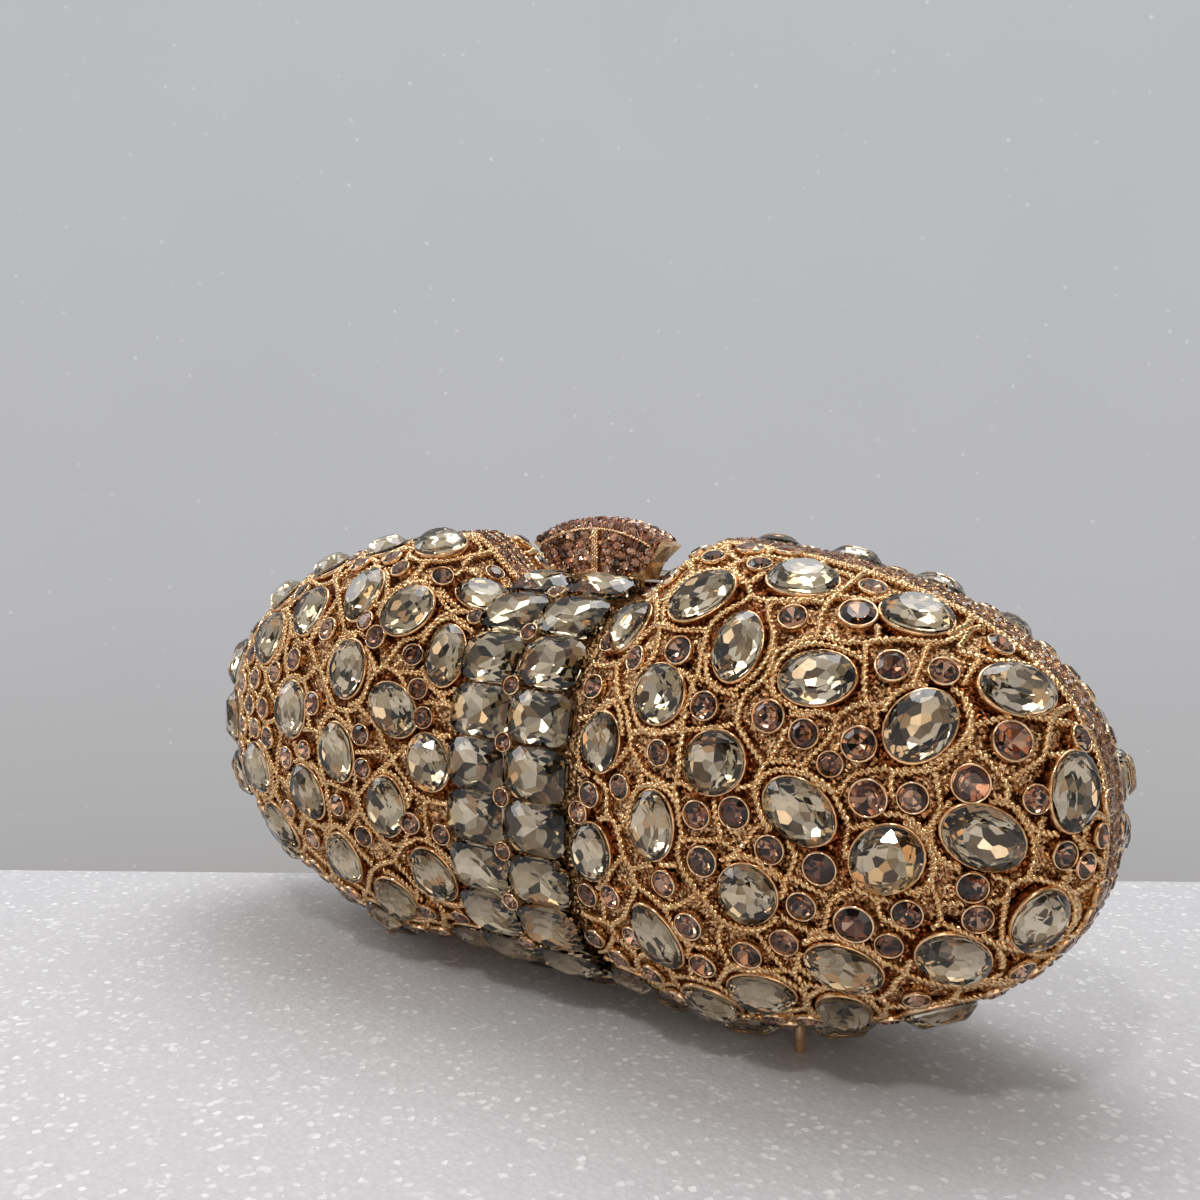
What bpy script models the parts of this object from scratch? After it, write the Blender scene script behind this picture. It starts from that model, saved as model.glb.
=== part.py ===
"""A minaudiere: a hard metal evening bag in the shape of a bow.

Two hollow half shells meet at an upright seam and turn on a hinge under the waist. Each lobe of the bow
wears a cast filigree skin whose wire ridges run half-way between the stones that its cups hold. A band
with two columns of cushion stones wraps the waist, and the clasp knob over the seam presses a leaf
spring off its strike.

The long axis is X, the front faces -Y, Z is up, and the feet stand on z = 0. Sizes are in metres.
"""

import math

import bmesh
import bpy
import numpy as np
from mathutils import Matrix, Vector
from mathutils.bvhtree import BVHTree

# Outline of the bow, seen from the front
BODY_HALF_LENGTH = 0.1045
BODY_HALF_HEIGHT = 0.0475
BODY_LIFT = 0.001
NOTCH_DEPTH = 0.011
NOTCH_HALF_FLAT = 0.017
NOTCH_SHOULDER = 0.034
ARCH_DEPTH = 0.005
ARCH_HALF_FLAT = 0.014
ARCH_SHOULDER = 0.044
TOP_POWER = 2.5
BOTTOM_POWER = 2.3

# Depth of the bow, from the seam to the bare metal between the stones
LOBE_HALF_DEPTH = 0.0355
WAIST_HALF_DEPTH = 0.0305
DEPTH_HALF_FLAT = 0.014
DEPTH_SHOULDER = 0.044
LENGTH_POWER = 2.7
SECTION_POWER = 2.4

# Clearances, walls and rims
GAP = 0.0003
MERGE = 0.00002
SKIN_WALL = 0.0012
SKIN_BLANK = 0.0036
SHELL_WALL = 0.001
LINING_SEAT = 0.0005
LINING_WALL = 0.0007
RIM_WIDTH = 0.004
RIM_THICKNESS = 0.0045
RIM_PROUD = 0.0001
SEAM_GAP = 0.0003
PAVE_WIDTH = 0.0029
PAVE_RISE = 0.0008
PAVE_INSET = 0.0005

# Filigree skin
WIRE_RISE = 0.001
WIRE_HALF_WIDTH = 0.0008
GROUND_WIDTH = 0.0004
STONE_RISE = 0.0036
SMALL_RISE = 0.0021
CELL_EDGE = 0.0125
SHORT_EDGE = 0.0024
OVAL_LENGTH = 0.0146
OVAL_WIDTH = 0.0106
PLUMP_LENGTH = 0.0148
PLUMP_WIDTH = 0.0122
ROUND_WIDTH = 0.0122
SMALL_WIDTH = 0.0054
TABLE_SHARE = 0.56
CUP_ROOM_SHARE = 0.93

# Band round the waist
BAND_HALF_WIDTH = 0.0151
BAND_ROWS = 10
BAND_SEAT_INSET = 0.0004
BAND_CORNER = 0.0024
BAND_ACCENT = 0.0021
BAND_STONE_RISE = 0.0042
BAND_TABLE_SHARE = 0.62

# Clasp knob and catch
KNOB_HALF_WIDTH = 0.0172
KNOB_BASE_HALF_WIDTH = 0.0114
KNOB_HEIGHT = 0.0122
KNOB_ARC_RISE = 0.005
KNOB_WAIST_SHARE = 0.3
KNOB_FRONT = 0.002
KNOB_THICKNESS = 0.0064
KNOB_TRAVEL = 0.0015
KNOB_RIM = 0.0009
KNOB_FIELD_DEPTH = 0.0006
KNOB_BAR_HALF_WIDTH = 0.0011
TONGUE_WIDTH = 0.018
TONGUE_THICKNESS = 0.0016
TONGUE_REACH = 0.0035
SPRING_WIDTH = 0.012
SPRING_THICKNESS = 0.0005
SPRING_REST_GAP = 0.0005
TOOTH_RISE = 0.002
STRIKE_WIDTH = 0.014
STRIKE_THICKNESS = 0.0008
STRIKE_DROP = 0.0027
STRIKE_REACH = 0.0024

# Hinge under the waist
HINGE_LENGTH = 0.0245
HINGE_KNUCKLES = 5
KNUCKLE_RADIUS = 0.0017
PIN_RADIUS = 0.0006
PIN_OVERHANG = 0.0006
LEAF_THICKNESS = 0.0009
LEAF_REACH = 0.0039

# Feet
FOOT_RADIUS = 0.00105
FOOT_HALF_SPREAD = 0.0537
FOOT_HALF_TRACK = 0.0102
FOOT_EDGE = 0.0004

# Mesh density
HALF_STATION_SHARES = (0.1, 0.17, 0.25, 0.335, 0.46, 0.61, 0.77, 0.9, 0.975)
BORDER_SHARES = (0.0, 0.14, 0.3, 0.46, 0.62, 0.76, 0.87, 0.95)
SECTION_STEPS = 16
ARC_STEPS = 160
ROUND_STEPS = 12
SLOPE_STEP = 0.02
SHARP_DEGREES = 30
FACING = 0.9

# Stones of the front right lobe: share of the way from the band to the tip, share of the way from the
# middle line up to the seam (down is negative), kind, and the turn of the long axis in degrees
RIGHT_STONE_SHARES = (
    (0.07, 0.60, "round", 0), (0.195, 0.31, "round", 0), (0.065, 0.21, "oval", 85),
    (0.045, -0.14, "oval", 85), (0.05, -0.70, "oval", 20), (0.225, 0.62, "oval", 55),
    (0.32, 0.475, "oval", 88), (0.375, 0.77, "oval", 5), (0.46, 0.43, "oval", 8),
    (0.31, 0.155, "round", 0), (0.198, -0.05, "oval", 86), (0.455, 0.055, "plump", -35),
    (0.59, -0.065, "plump", 40), (0.37, -0.195, "round", 0), (0.19, -0.385, "oval", -55),
    (0.365, -0.535, "oval", 2), (0.515, -0.43, "oval", -20), (0.625, 0.37, "plump", 55),
    (0.57, 0.765, "oval", 2), (0.745, 0.665, "oval", 10), (0.872, 0.34, "oval", 88),
    (0.73, 0.03, "plump", -22), (0.81, -0.40, "round", 0), (0.68, -0.45, "oval", -28),
    (0.62, -0.80, "oval", 0), (0.275, -0.80, "oval", 0), (0.45, -0.80, "oval", 0),
    (0.395, 0.60, "small", 0), (0.49, 0.655, "small", 0), (0.395, 0.30, "small", 0),
    (0.54, 0.265, "small", 0), (0.755, 0.42, "small", 0), (0.705, 0.225, "small", 0),
    (0.345, 0.02, "small", 0), (0.49, -0.10, "small", 0), (0.295, -0.115, "small", 0),
    (0.54, -0.265, "small", 0), (0.262, -0.31, "small", 0), (0.36, -0.37, "small", 0),
    (0.765, -0.66, "small", 0), (0.13, 0.42, "small", 0),
    (0.10, -0.285, "small", 0),
)

# Stones of the front left lobe, in the same shares from the band to the left tip
LEFT_STONE_SHARES = (
    (0.185, 0.81, "round", 0), (0.055, 0.46, "oval", 82), (0.062, 0.055, "oval", 75),
    (0.07, -0.37, "oval", 65), (0.29, 0.555, "oval", 90), (0.155, 0.51, "round", 0),
    (0.45, 0.505, "oval", 90), (0.275, 0.28, "oval", 88), (0.59, 0.40, "oval", 85),
    (0.36, 0.84, "oval", 10), (0.52, 0.78, "oval", 5), (0.63, 0.66, "oval", 15),
    (0.455, 0.105, "oval", 90), (0.78, 0.0, "oval", 88), (0.15, 0.165, "oval", 40),
    (0.29, 0.0, "oval", 75), (0.61, -0.17, "oval", 60), (0.395, -0.175, "oval", 52),
    (0.16, -0.165, "oval", 90), (0.54, -0.42, "oval", 45), (0.30, -0.385, "oval", 88),
    (0.185, -0.56, "oval", 80), (0.055, 0.76, "oval", 0), (0.045, -0.68, "oval", 0),
    (0.30, -0.80, "oval", 0), (0.46, -0.80, "oval", 0), (0.63, -0.70, "oval", -10),
    (0.76, -0.38, "oval", 70), (0.80, 0.38, "oval", 80),
    (0.285, 0.73, "small", 0), (0.45, 0.31, "small", 0), (0.36, 0.40, "small", 0),
    (0.52, 0.25, "small", 0), (0.365, 0.15, "small", 0), (0.46, -0.06, "small", 0),
    (0.285, -0.19, "small", 0), (0.41, -0.35, "small", 0), (0.45, -0.57, "small", 0),
    (0.69, -0.05, "small", 0), (0.69, 0.20, "small", 0), (0.53, 0.62, "small", 0),
    (0.37, -0.60, "small", 0),
)

BODY_MIDDLE = BODY_LIFT + BODY_HALF_HEIGHT
LOBE_START = BAND_HALF_WIDTH + GAP
SHELL_LIFT = -(SKIN_WALL + GAP)
LINING_LIFT = SHELL_LIFT - SHELL_WALL - LINING_SEAT
SHELL_EDGE = RIM_WIDTH + SEAM_GAP / 2 + GAP


def ease(share):
    """Smooth step from 0 to 1."""
    share = np.clip(share, 0.0, 1.0)
    return share * share * (3 - 2 * share)


def outline_top(x):
    """Height of the seam's upper edge: an arch with a flat notch for the waist."""
    share = np.clip(np.abs(x) / BODY_HALF_LENGTH, 0.0, 1.0)
    arch = BODY_HALF_HEIGHT * (1 - share**TOP_POWER) ** (1 / TOP_POWER)
    climb = ease((np.abs(x) - NOTCH_HALF_FLAT) / (NOTCH_SHOULDER - NOTCH_HALF_FLAT))
    return BODY_MIDDLE + arch - NOTCH_DEPTH * (1 - climb)


def outline_bottom(x):
    """Height of the seam's lower edge, which rises a little under the waist."""
    share = np.clip(np.abs(x) / BODY_HALF_LENGTH, 0.0, 1.0)
    arch = BODY_HALF_HEIGHT * (1 - share**BOTTOM_POWER) ** (1 / BOTTOM_POWER)
    fall = ease((np.abs(x) - ARCH_HALF_FLAT) / (ARCH_SHOULDER - ARCH_HALF_FLAT))
    return BODY_MIDDLE - arch + ARCH_DEPTH * (1 - fall)


def half_depth(x):
    """How far the bow reaches from the seam: slim at the waist, full in the lobes, round at the tips."""
    share = np.clip(np.abs(x) / BODY_HALF_LENGTH, 0.0, 1.0)
    lobe = LOBE_HALF_DEPTH * (1 - share**LENGTH_POWER) ** (1 / LENGTH_POWER)
    swell = ease((np.abs(x) - DEPTH_HALF_FLAT) / (DEPTH_SHOULDER - DEPTH_HALF_FLAT))
    return WAIST_HALF_DEPTH + (lobe - WAIST_HALF_DEPTH) * swell


def section_point(x, turn):
    """Point of the bare body at length x, turned from the top seam (0) over the front to the bottom (pi)."""
    top, bottom = outline_top(x), outline_bottom(x)
    sine, cosine = np.sin(turn), np.cos(turn)
    power = 2 / SECTION_POWER
    y = -half_depth(x) * np.sign(sine) * np.abs(sine) ** power
    z = (top + bottom) / 2 + (top - bottom) / 2 * np.sign(cosine) * np.abs(cosine) ** power
    return np.stack(np.broadcast_arrays(x, y, z), axis=-1)


def surface_point(x, turn, lift):
    """Point that stands lift off the bare body, along the body's own normal."""
    step = BODY_HALF_LENGTH * SLOPE_STEP / 4
    limit = BODY_HALF_LENGTH - step
    inner = min(max(x, -limit), limit)
    across = section_point(inner + step / 2, turn) - section_point(inner - step / 2, turn)
    around = section_point(inner, turn + SLOPE_STEP) - section_point(inner, turn - SLOPE_STEP)
    normal = np.cross(around, across)
    normal = normal / np.linalg.norm(normal)
    return Vector(section_point(x, turn) + lift * normal)


def rim_turn(x, distance):
    """Turn at which the body lies at a distance in front of the seam."""
    share = min(distance / float(half_depth(x)), 1.0)
    return math.asin(share ** (SECTION_POWER / 2))


def section_arcs(x):
    """Turns over the front half of a section, with the length of the arc up to each."""
    turns = np.linspace(0.0, math.pi, ARC_STEPS + 1)
    points = section_point(np.full_like(turns, x), turns)
    steps = np.linalg.norm(np.diff(points, axis=0), axis=1)
    return turns, np.concatenate([[0.0], np.cumsum(steps)])


def lobe_arcs():
    """Lengths x along a lobe's middle line, with the arc from the band's edge up to each."""
    spread = np.sin(np.linspace(0.0, math.pi / 2, ARC_STEPS + 1))
    lengths = LOBE_START + (BODY_HALF_LENGTH - LOBE_START) * spread
    points = section_point(lengths, np.full_like(lengths, math.pi / 2))
    steps = np.linalg.norm(np.diff(points, axis=0), axis=1)
    return lengths, np.concatenate([[0.0], np.cumsum(steps)])


def material(name, colour, roughness, metallic):
    """A plain Principled material."""
    made = bpy.data.materials.new(name)
    made.use_nodes = True
    shader = made.node_tree.nodes["Principled BSDF"]
    shader.inputs["Base Color"].default_value = (*colour, 1.0)
    shader.inputs["Roughness"].default_value = roughness
    shader.inputs["Metallic"].default_value = metallic
    return made


def add_object(name, bm, group, finish):
    """Link a finished bmesh as one named object."""
    bmesh.ops.recalc_face_normals(bm, faces=bm.faces[:])
    mesh = bpy.data.meshes.new(name)
    bm.to_mesh(mesh)
    bm.free()
    mesh.materials.append(finish)
    made = bpy.data.objects.new(name, mesh)
    group.objects.link(made)
    return made


def add_tool(name, bm, group):
    """Link a bmesh as a hidden cutter or joining piece."""
    made = add_object(name, bm, group, None)
    made.hide_render = True
    made.display_type = "WIRE"
    return made


def box(low, high):
    """A bmesh box between two corners."""
    bm = bmesh.new()
    bmesh.ops.create_cube(bm, size=1.0)
    middle = (Vector(low) + Vector(high)) / 2
    size = Vector(high) - Vector(low)
    bmesh.ops.scale(bm, verts=bm.verts[:], vec=size)
    bmesh.ops.translate(bm, verts=bm.verts[:], vec=middle)
    return bm


def rod_along_x(radius, start, end, height, sides):
    """A bmesh cylinder on the line y = 0, z = height."""
    bm = bmesh.new()
    bmesh.ops.create_cone(
        bm, cap_ends=True, segments=sides, radius1=radius, radius2=radius, depth=end - start,
        matrix=Matrix.Translation(((start + end) / 2, 0.0, height)) @ Matrix.Rotation(math.pi / 2, 4, "Y"),
    )
    return bm


def combine(piece, tool, operation):
    """Add one exact Boolean to a piece."""
    step = piece.modifiers.new(tool.name, "BOOLEAN")
    step.operation = operation
    step.solver = "EXACT"
    step.object = tool


def solidify(piece, thickness):
    """Give an open surface a wall on its inner side."""
    step = piece.modifiers.new("wall", "SOLIDIFY")
    step.thickness = thickness
    step.offset = -1.0
    step.use_even_offset = True


def soften(piece, angle):
    """Smooth shading with the edges past an angle kept sharp."""
    piece.data.shade_smooth()
    piece.data.set_sharp_from_angle(angle=angle)


def turn_about_z(bm):
    """Turn a front piece into the rear piece that lies opposite it."""
    bmesh.ops.rotate(bm, verts=bm.verts[:], cent=(0.0, 0.0, 0.0), matrix=Matrix.Rotation(math.pi, 3, "Z"))


def body_stations():
    """Lengths x of the body's rings, from the left tip to the right one."""
    half = [BODY_HALF_LENGTH * share for share in HALF_STATION_SHARES]
    return [-BODY_HALF_LENGTH, *(-x for x in reversed(half)), 0.0, *half, BODY_HALF_LENGTH]


def front_cup(lift):
    """The front half of the body as an open bmesh surface, from a sphere drawn out to the bow's sections."""
    stations = body_stations()
    rings = len(stations) - 1
    bm = bmesh.new()
    bmesh.ops.create_uvsphere(bm, u_segments=SECTION_STEPS, v_segments=rings, radius=1.0)
    for vert in bm.verts:
        ring = round(math.acos(max(-1.0, min(1.0, vert.co.z))) / math.pi * rings)
        turn = math.atan2(vert.co.y, vert.co.x)
        x = stations[ring]
        if ring in (0, rings):
            vert.co = Vector(section_point(x, 0.0)) + Vector((math.copysign(1.0, x) * lift, 0.0, 0.0))
        else:
            vert.co = surface_point(x, turn, lift)
    bmesh.ops.bisect_plane(
        bm, geom=bm.verts[:] + bm.edges[:] + bm.faces[:], dist=MERGE,
        plane_co=(0.0, 0.0, 0.0), plane_no=(0.0, 1.0, 0.0), clear_outer=True,
    )
    return bm


def front_core(lift):
    """The front half of the body as a closed solid, which cuts the backs of what lies on the shell."""
    bm = front_cup(lift)
    bmesh.ops.holes_fill(bm, edges=[edge for edge in bm.edges if edge.is_boundary], sides=0)
    return bm


def seam_slab():
    """A slab over the seam that trims the front shell, its lining and its skins to the rim's edge."""
    reach = 2 * BODY_HALF_LENGTH
    return box((-reach, -SHELL_EDGE, -reach), (reach, reach, reach))


def outline_loop():
    """Seam outline as (x, top or bottom) pairs, clockwise from the left tip over the top."""
    stations = body_stations()
    upper = [(x, "top") for x in stations]
    lower = [(x, "bottom") for x in reversed(stations[1:-1])]
    return upper + lower


def outline_point(x, side, y):
    """Point of the seam's outline, moved to the plane y."""
    height = outline_top(x) if side == "top" else outline_bottom(x)
    return Vector((x, y, float(height)))


def rim_ring(outer_lift):
    """The rim's outer ribbon as an open bmesh surface, swept from the seam to the shell's edge."""
    loop = outline_loop()
    bm = bmesh.new()
    ring = bmesh.ops.create_circle(bm, cap_ends=False, segments=len(loop), radius=1.0)["verts"]
    for vert, (x, side) in zip(ring, loop):
        vert.co = outline_point(x, side, -SEAM_GAP / 2)
    lift_outline(bm.verts[:], loop, outer_lift)
    edges = bm.edges[:]
    made = bmesh.ops.extrude_edge_only(bm, edges=edges)["geom"]
    fresh = [item for item in made if isinstance(item, bmesh.types.BMVert)]
    bmesh.ops.translate(bm, verts=fresh, vec=(0.0, -RIM_WIDTH, 0.0))
    return bm


def lift_outline(verts, loop, lift):
    """Move outline points outward in the seam's plane by lift."""
    for vert, (x, side) in zip(verts, loop):
        turn = 0.0 if side == "top" else math.pi
        if abs(x) >= BODY_HALF_LENGTH:
            vert.co.x += math.copysign(1.0, x) * lift
        else:
            moved = surface_point(x, turn, lift)
            vert.co.x, vert.co.z = moved.x, moved.z


def pave_rail(side_sign):
    """One lobe's strip of small stones beside the seam, round the tip from notch to hinge."""
    lengths = [BODY_HALF_LENGTH * share for share in HALF_STATION_SHARES[1:]]
    loop = [(x, "top") for x in lengths]
    loop += [(BODY_HALF_LENGTH, "top")]
    loop += [(x, "bottom") for x in reversed(lengths)]
    low = -SEAM_GAP / 2 - PAVE_INSET
    base = RIM_PROUD + GAP
    section = (
        (low, base), (low - PAVE_WIDTH, base),
        (low - PAVE_WIDTH + PAVE_INSET, base + PAVE_RISE), (low - PAVE_INSET, base + PAVE_RISE),
    )
    bm = bmesh.new()
    rings = []
    for x, side in loop:
        ring = bmesh.ops.create_circle(bm, cap_ends=False, segments=len(section), radius=1.0)["verts"]
        for vert, (y, lift) in zip(ring, section):
            vert.co = outline_point(x, side, y)
            lift_outline([vert], [(x, side)], lift)
        rings.append([edge for edge in bm.edges if edge.verts[0] in ring and edge.verts[1] in ring])
    for first, second in zip(rings, rings[1:]):
        bmesh.ops.bridge_loops(bm, edges=first + second)
    bmesh.ops.holes_fill(bm, edges=rings[0] + rings[-1], sides=len(section))
    if side_sign < 0:
        bmesh.ops.scale(bm, verts=bm.verts[:], vec=(-1.0, 1.0, 1.0))
    return bm


def stone_size(kind):
    """Half length and half width of a cup, by its kind."""
    sizes = {
        "oval": (OVAL_LENGTH / 2, OVAL_WIDTH / 2),
        "plump": (PLUMP_LENGTH / 2, PLUMP_WIDTH / 2),
        "round": (ROUND_WIDTH / 2, ROUND_WIDTH / 2),
        "small": (SMALL_WIDTH / 2, SMALL_WIDTH / 2),
    }
    return sizes[kind]


def lobe_chart(table):
    """Stones laid on the lobe's unrolled surface: centre, half sizes and turn of each."""
    lengths, arcs = lobe_arcs()
    stones = []
    for along_share, round_share, kind, degrees in table:
        along = along_share * arcs[-1]
        x = float(np.interp(along, arcs, lengths))
        turns, section = section_arcs(x)
        middle = float(np.interp(math.pi / 2, turns, section))
        room = middle if round_share > 0 else section[-1] - middle
        centre = Vector((along, round_share * room, 0.0))
        stones.append((centre, *stone_size(kind), math.radians(degrees)))
    return stones


def lobe_border():
    """Corners of the skin's edge on the unrolled lobe: just inside the rim, and straight at the band."""
    lengths, arcs = lobe_arcs()
    edge = SHELL_EDGE + GAP
    tip = max(x for x in lengths if half_depth(x) > edge)
    tip_along = float(np.interp(tip, lengths, arcs))
    upper, lower = [], []
    for share in BORDER_SHARES:
        along = share * tip_along
        x = float(np.interp(along, arcs, lengths))
        turns, section = section_arcs(x)
        middle = float(np.interp(math.pi / 2, turns, section))
        inset = float(np.interp(rim_turn(x, edge), turns, section))
        upper.append(Vector((along, middle - inset, 0.0)))
        lower.append(Vector((along, middle - section[-1] + inset, 0.0)))
    return upper + [Vector((tip_along, 0.0, 0.0))] + lower[::-1]


def halfway_planes(place, radius, rivals, reach):
    """Cuts half-way between a seat and each rival, shifted towards the smaller of the two."""
    planes = []
    for other, other_radius in rivals:
        apart = other - place
        distance = apart.length
        if 0 < distance < reach:
            share = (distance**2 + radius**2 - other_radius**2) / (2 * distance**2)
            planes.append((place + apart * share, apart.normalized()))
    return planes


def border_planes(corners):
    """Cuts along the skin's edge, facing out."""
    planes = []
    for first, second in zip(corners, corners[1:] + corners[:1]):
        along = (second - first).normalized()
        planes.append((first, Vector((-along.y, along.x, 0.0))))
    return planes


def filigree_cells(stones):
    """A flat mesh with one face for each stone, whose edges run half-way to its neighbours."""
    seats = []
    for number, (centre, half_length, half_width, turn) in enumerate(stones):
        shift = Vector((math.cos(turn), math.sin(turn), 0.0)) * (half_length - half_width)
        places = (centre - shift, centre + shift) if shift.length > 0 else (centre,)
        seats += [(number, place, half_width) for place in places]
    corners = lobe_border()
    reach = max(corner.length for corner in corners)
    edges = border_planes(corners)
    cells = bmesh.new()
    owner = cells.faces.layers.int.new("stone")
    scrap = bpy.data.meshes.new("cell")
    for number, place, radius in seats:
        cell = bmesh.new()
        mark = cell.faces.layers.int.new("stone")
        bmesh.ops.create_grid(cell, x_segments=1, y_segments=1, size=reach)
        bmesh.ops.translate(cell, verts=cell.verts[:], vec=place)
        rivals = [(other, size) for _, other, size in seats if other is not place]
        for point, normal in halfway_planes(place, radius, rivals, reach) + edges:
            bmesh.ops.bisect_plane(
                cell, geom=cell.verts[:] + cell.edges[:] + cell.faces[:], dist=MERGE / 2,
                plane_co=point, plane_no=normal, clear_outer=True,
            )
        for face in cell.faces:
            face[mark] = number
        cell.to_mesh(scrap)
        cell.free()
        cells.from_mesh(scrap)
    bpy.data.meshes.remove(scrap)
    owner = cells.faces.layers.int["stone"]
    bmesh.ops.remove_doubles(cells, verts=cells.verts[:], dist=MERGE)
    for number in range(len(stones)):
        pair = [face for face in cells.faces if face[owner] == number]
        if len(pair) == 2:
            bmesh.ops.dissolve_faces(cells, faces=pair)
    bmesh.ops.dissolve_degenerate(cells, dist=SHORT_EDGE, edges=cells.edges[:])
    straight = [
        vert for vert in cells.verts
        if len(vert.link_edges) == 2 and vert.calc_edge_angle() < math.radians(SHARP_DEGREES)
    ]
    bmesh.ops.dissolve_verts(cells, verts=straight)
    long_edges = [edge for edge in cells.edges if edge.calc_length() > CELL_EDGE]
    bmesh.ops.subdivide_edges(cells, edges=long_edges, cuts=1)
    return cells


def cup_radius(direction, half_length, half_width, turn):
    """Radius of an oval in a direction from its centre."""
    angle = math.atan2(direction.y, direction.x) - turn
    return half_length * half_width / math.hypot(half_width * math.cos(angle), half_length * math.sin(angle))


def raise_stones(cells, stones):
    """Thicken the flat cells, ridge their edges into wires and raise a cup with its cut stone in each."""
    bmesh.ops.solidify(cells, geom=cells.faces[:], thickness=SKIN_BLANK)
    bmesh.ops.recalc_face_normals(cells, faces=cells.faces[:])
    highest = max(vert.co.z for vert in cells.verts)
    bmesh.ops.translate(cells, verts=cells.verts[:], vec=(0.0, 0.0, -highest))
    owner = cells.faces.layers.int["stone"]
    tops = [face for face in cells.faces if face.normal.z > FACING]
    for vert in {vert for face in tops for vert in face.verts}:
        vert.co.z = WIRE_RISE
    bmesh.ops.inset_individual(cells, faces=tops, thickness=WIRE_HALF_WIDTH, use_even_offset=True)
    for vert in {vert for face in tops for vert in face.verts}:
        vert.co.z = 0.0
    for face in tops:
        centre, half_length, half_width, turn = stones[face[owner]]
        if half_width > SMALL_WIDTH / 2:
            bmesh.ops.inset_individual(cells, faces=[face], thickness=GROUND_WIDTH)
        seat_cup(face, centre, half_length, half_width, turn)
    tables = bmesh.ops.extrude_discrete_faces(cells, faces=tops)["faces"]
    for face in tables:
        small = stones[face[owner]][1] <= SMALL_WIDTH / 2
        cut_table(face, TABLE_SHARE, SMALL_RISE if small else STONE_RISE)


def cut_table(face, share, rise):
    """Draw a raised face in to a stone's flat table."""
    middle = face.calc_center_median()
    for vert in face.verts:
        vert.co = middle + (vert.co - middle) * share
        vert.co.z = rise


def seat_cup(face, centre, half_length, half_width, turn):
    """Move a face's corners onto its cup's oval, or as far as the cell lets the cup reach."""
    middle = Vector((centre.x, centre.y, 0.0))
    for vert in face.verts:
        direction = vert.co - middle
        room = direction.length * CUP_ROOM_SHARE
        radius = min(cup_radius(direction, half_length, half_width, turn), room)
        vert.co = middle + direction.normalized() * radius


def wrap_on_lobe(bm, side_sign):
    """Lay a flat mesh on the lobe: its x runs to the tip, its y up round the front, its z off the body."""
    lengths, arcs = lobe_arcs()
    for vert in bm.verts:
        along, height, lift = vert.co
        x = float(np.interp(along, arcs, lengths))
        turns, section = section_arcs(x)
        middle = float(np.interp(math.pi / 2, turns, section))
        turn = float(np.interp(middle - height, section, turns))
        vert.co = surface_point(x, turn, lift)
        vert.co.x *= side_sign


def filigree_skin(table, side_sign):
    """A lobe's cast skin with its wires, cups and stones."""
    stones = lobe_chart(table)
    cells = filigree_cells(stones)
    raise_stones(cells, stones)
    wrap_on_lobe(cells, side_sign)
    return cells


def bow_band():
    """The waist band: a curved tray with two columns of cushion stones and a row of accents between."""
    turns, section = section_arcs(0.0)
    inset = float(np.interp(rim_turn(0.0, SHELL_EDGE + GAP), turns, section))
    length = section[-1] - 2 * inset
    bm = bmesh.new()
    bmesh.ops.create_grid(bm, x_segments=2, y_segments=BAND_ROWS, size=1.0)
    bmesh.ops.scale(bm, verts=bm.verts[:], vec=(BAND_HALF_WIDTH, length / 2, 1.0))
    crossings = [vert for vert in bm.verts if abs(vert.co.x) < MERGE and not vert.is_boundary]
    bmesh.ops.bevel(
        bm, geom=crossings, affect="VERTICES", offset=BAND_ACCENT, offset_type="OFFSET",
        segments=1, profile=0.5, material=-1,
    )
    bmesh.ops.solidify(bm, geom=bm.faces[:], thickness=SKIN_BLANK)
    bmesh.ops.recalc_face_normals(bm, faces=bm.faces[:])
    highest = max(vert.co.z for vert in bm.verts)
    bmesh.ops.translate(bm, verts=bm.verts[:], vec=(0.0, 0.0, -highest))
    tops = [face for face in bm.faces if face.normal.z > FACING]
    bmesh.ops.inset_individual(bm, faces=tops, thickness=BAND_SEAT_INSET, use_even_offset=True)
    outer = {
        vert for face in tops for vert in face.verts
        if abs(vert.co.x) > BAND_HALF_WIDTH - 2 * BAND_SEAT_INSET
    }
    bmesh.ops.bevel(
        bm, geom=list(outer), affect="VERTICES", offset=BAND_CORNER, offset_type="OFFSET",
        segments=1, profile=0.5, material=-1, clamp_overlap=True,
    )
    seats = [
        face for face in bm.faces
        if face.normal.z > FACING and all(abs(vert.co.z) < MERGE for vert in face.verts) and is_seat(face)
    ]
    tables = bmesh.ops.extrude_discrete_faces(bm, faces=seats)["faces"]
    for face in tables:
        cut_table(face, BAND_TABLE_SHARE, BAND_STONE_RISE)
    bmesh.ops.remove_doubles(bm, verts=bm.verts[:], dist=MERGE)
    for vert in bm.verts:
        x, height, lift = vert.co
        turns, section = section_arcs(x)
        share = 0.5 - height / length
        start = float(np.interp(rim_turn(x, SHELL_EDGE + GAP), turns, section))
        arc = start + share * (section[-1] - 2 * start)
        vert.co = surface_point(x, float(np.interp(arc, section, turns)), lift)
    return bm


def is_seat(face):
    """Tell a stone's seat on the band from the narrow strips between the seats."""
    across = [vert.co.x for vert in face.verts]
    up = [vert.co.y for vert in face.verts]
    return min(max(across) - min(across), max(up) - min(up)) > BAND_ACCENT


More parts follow.
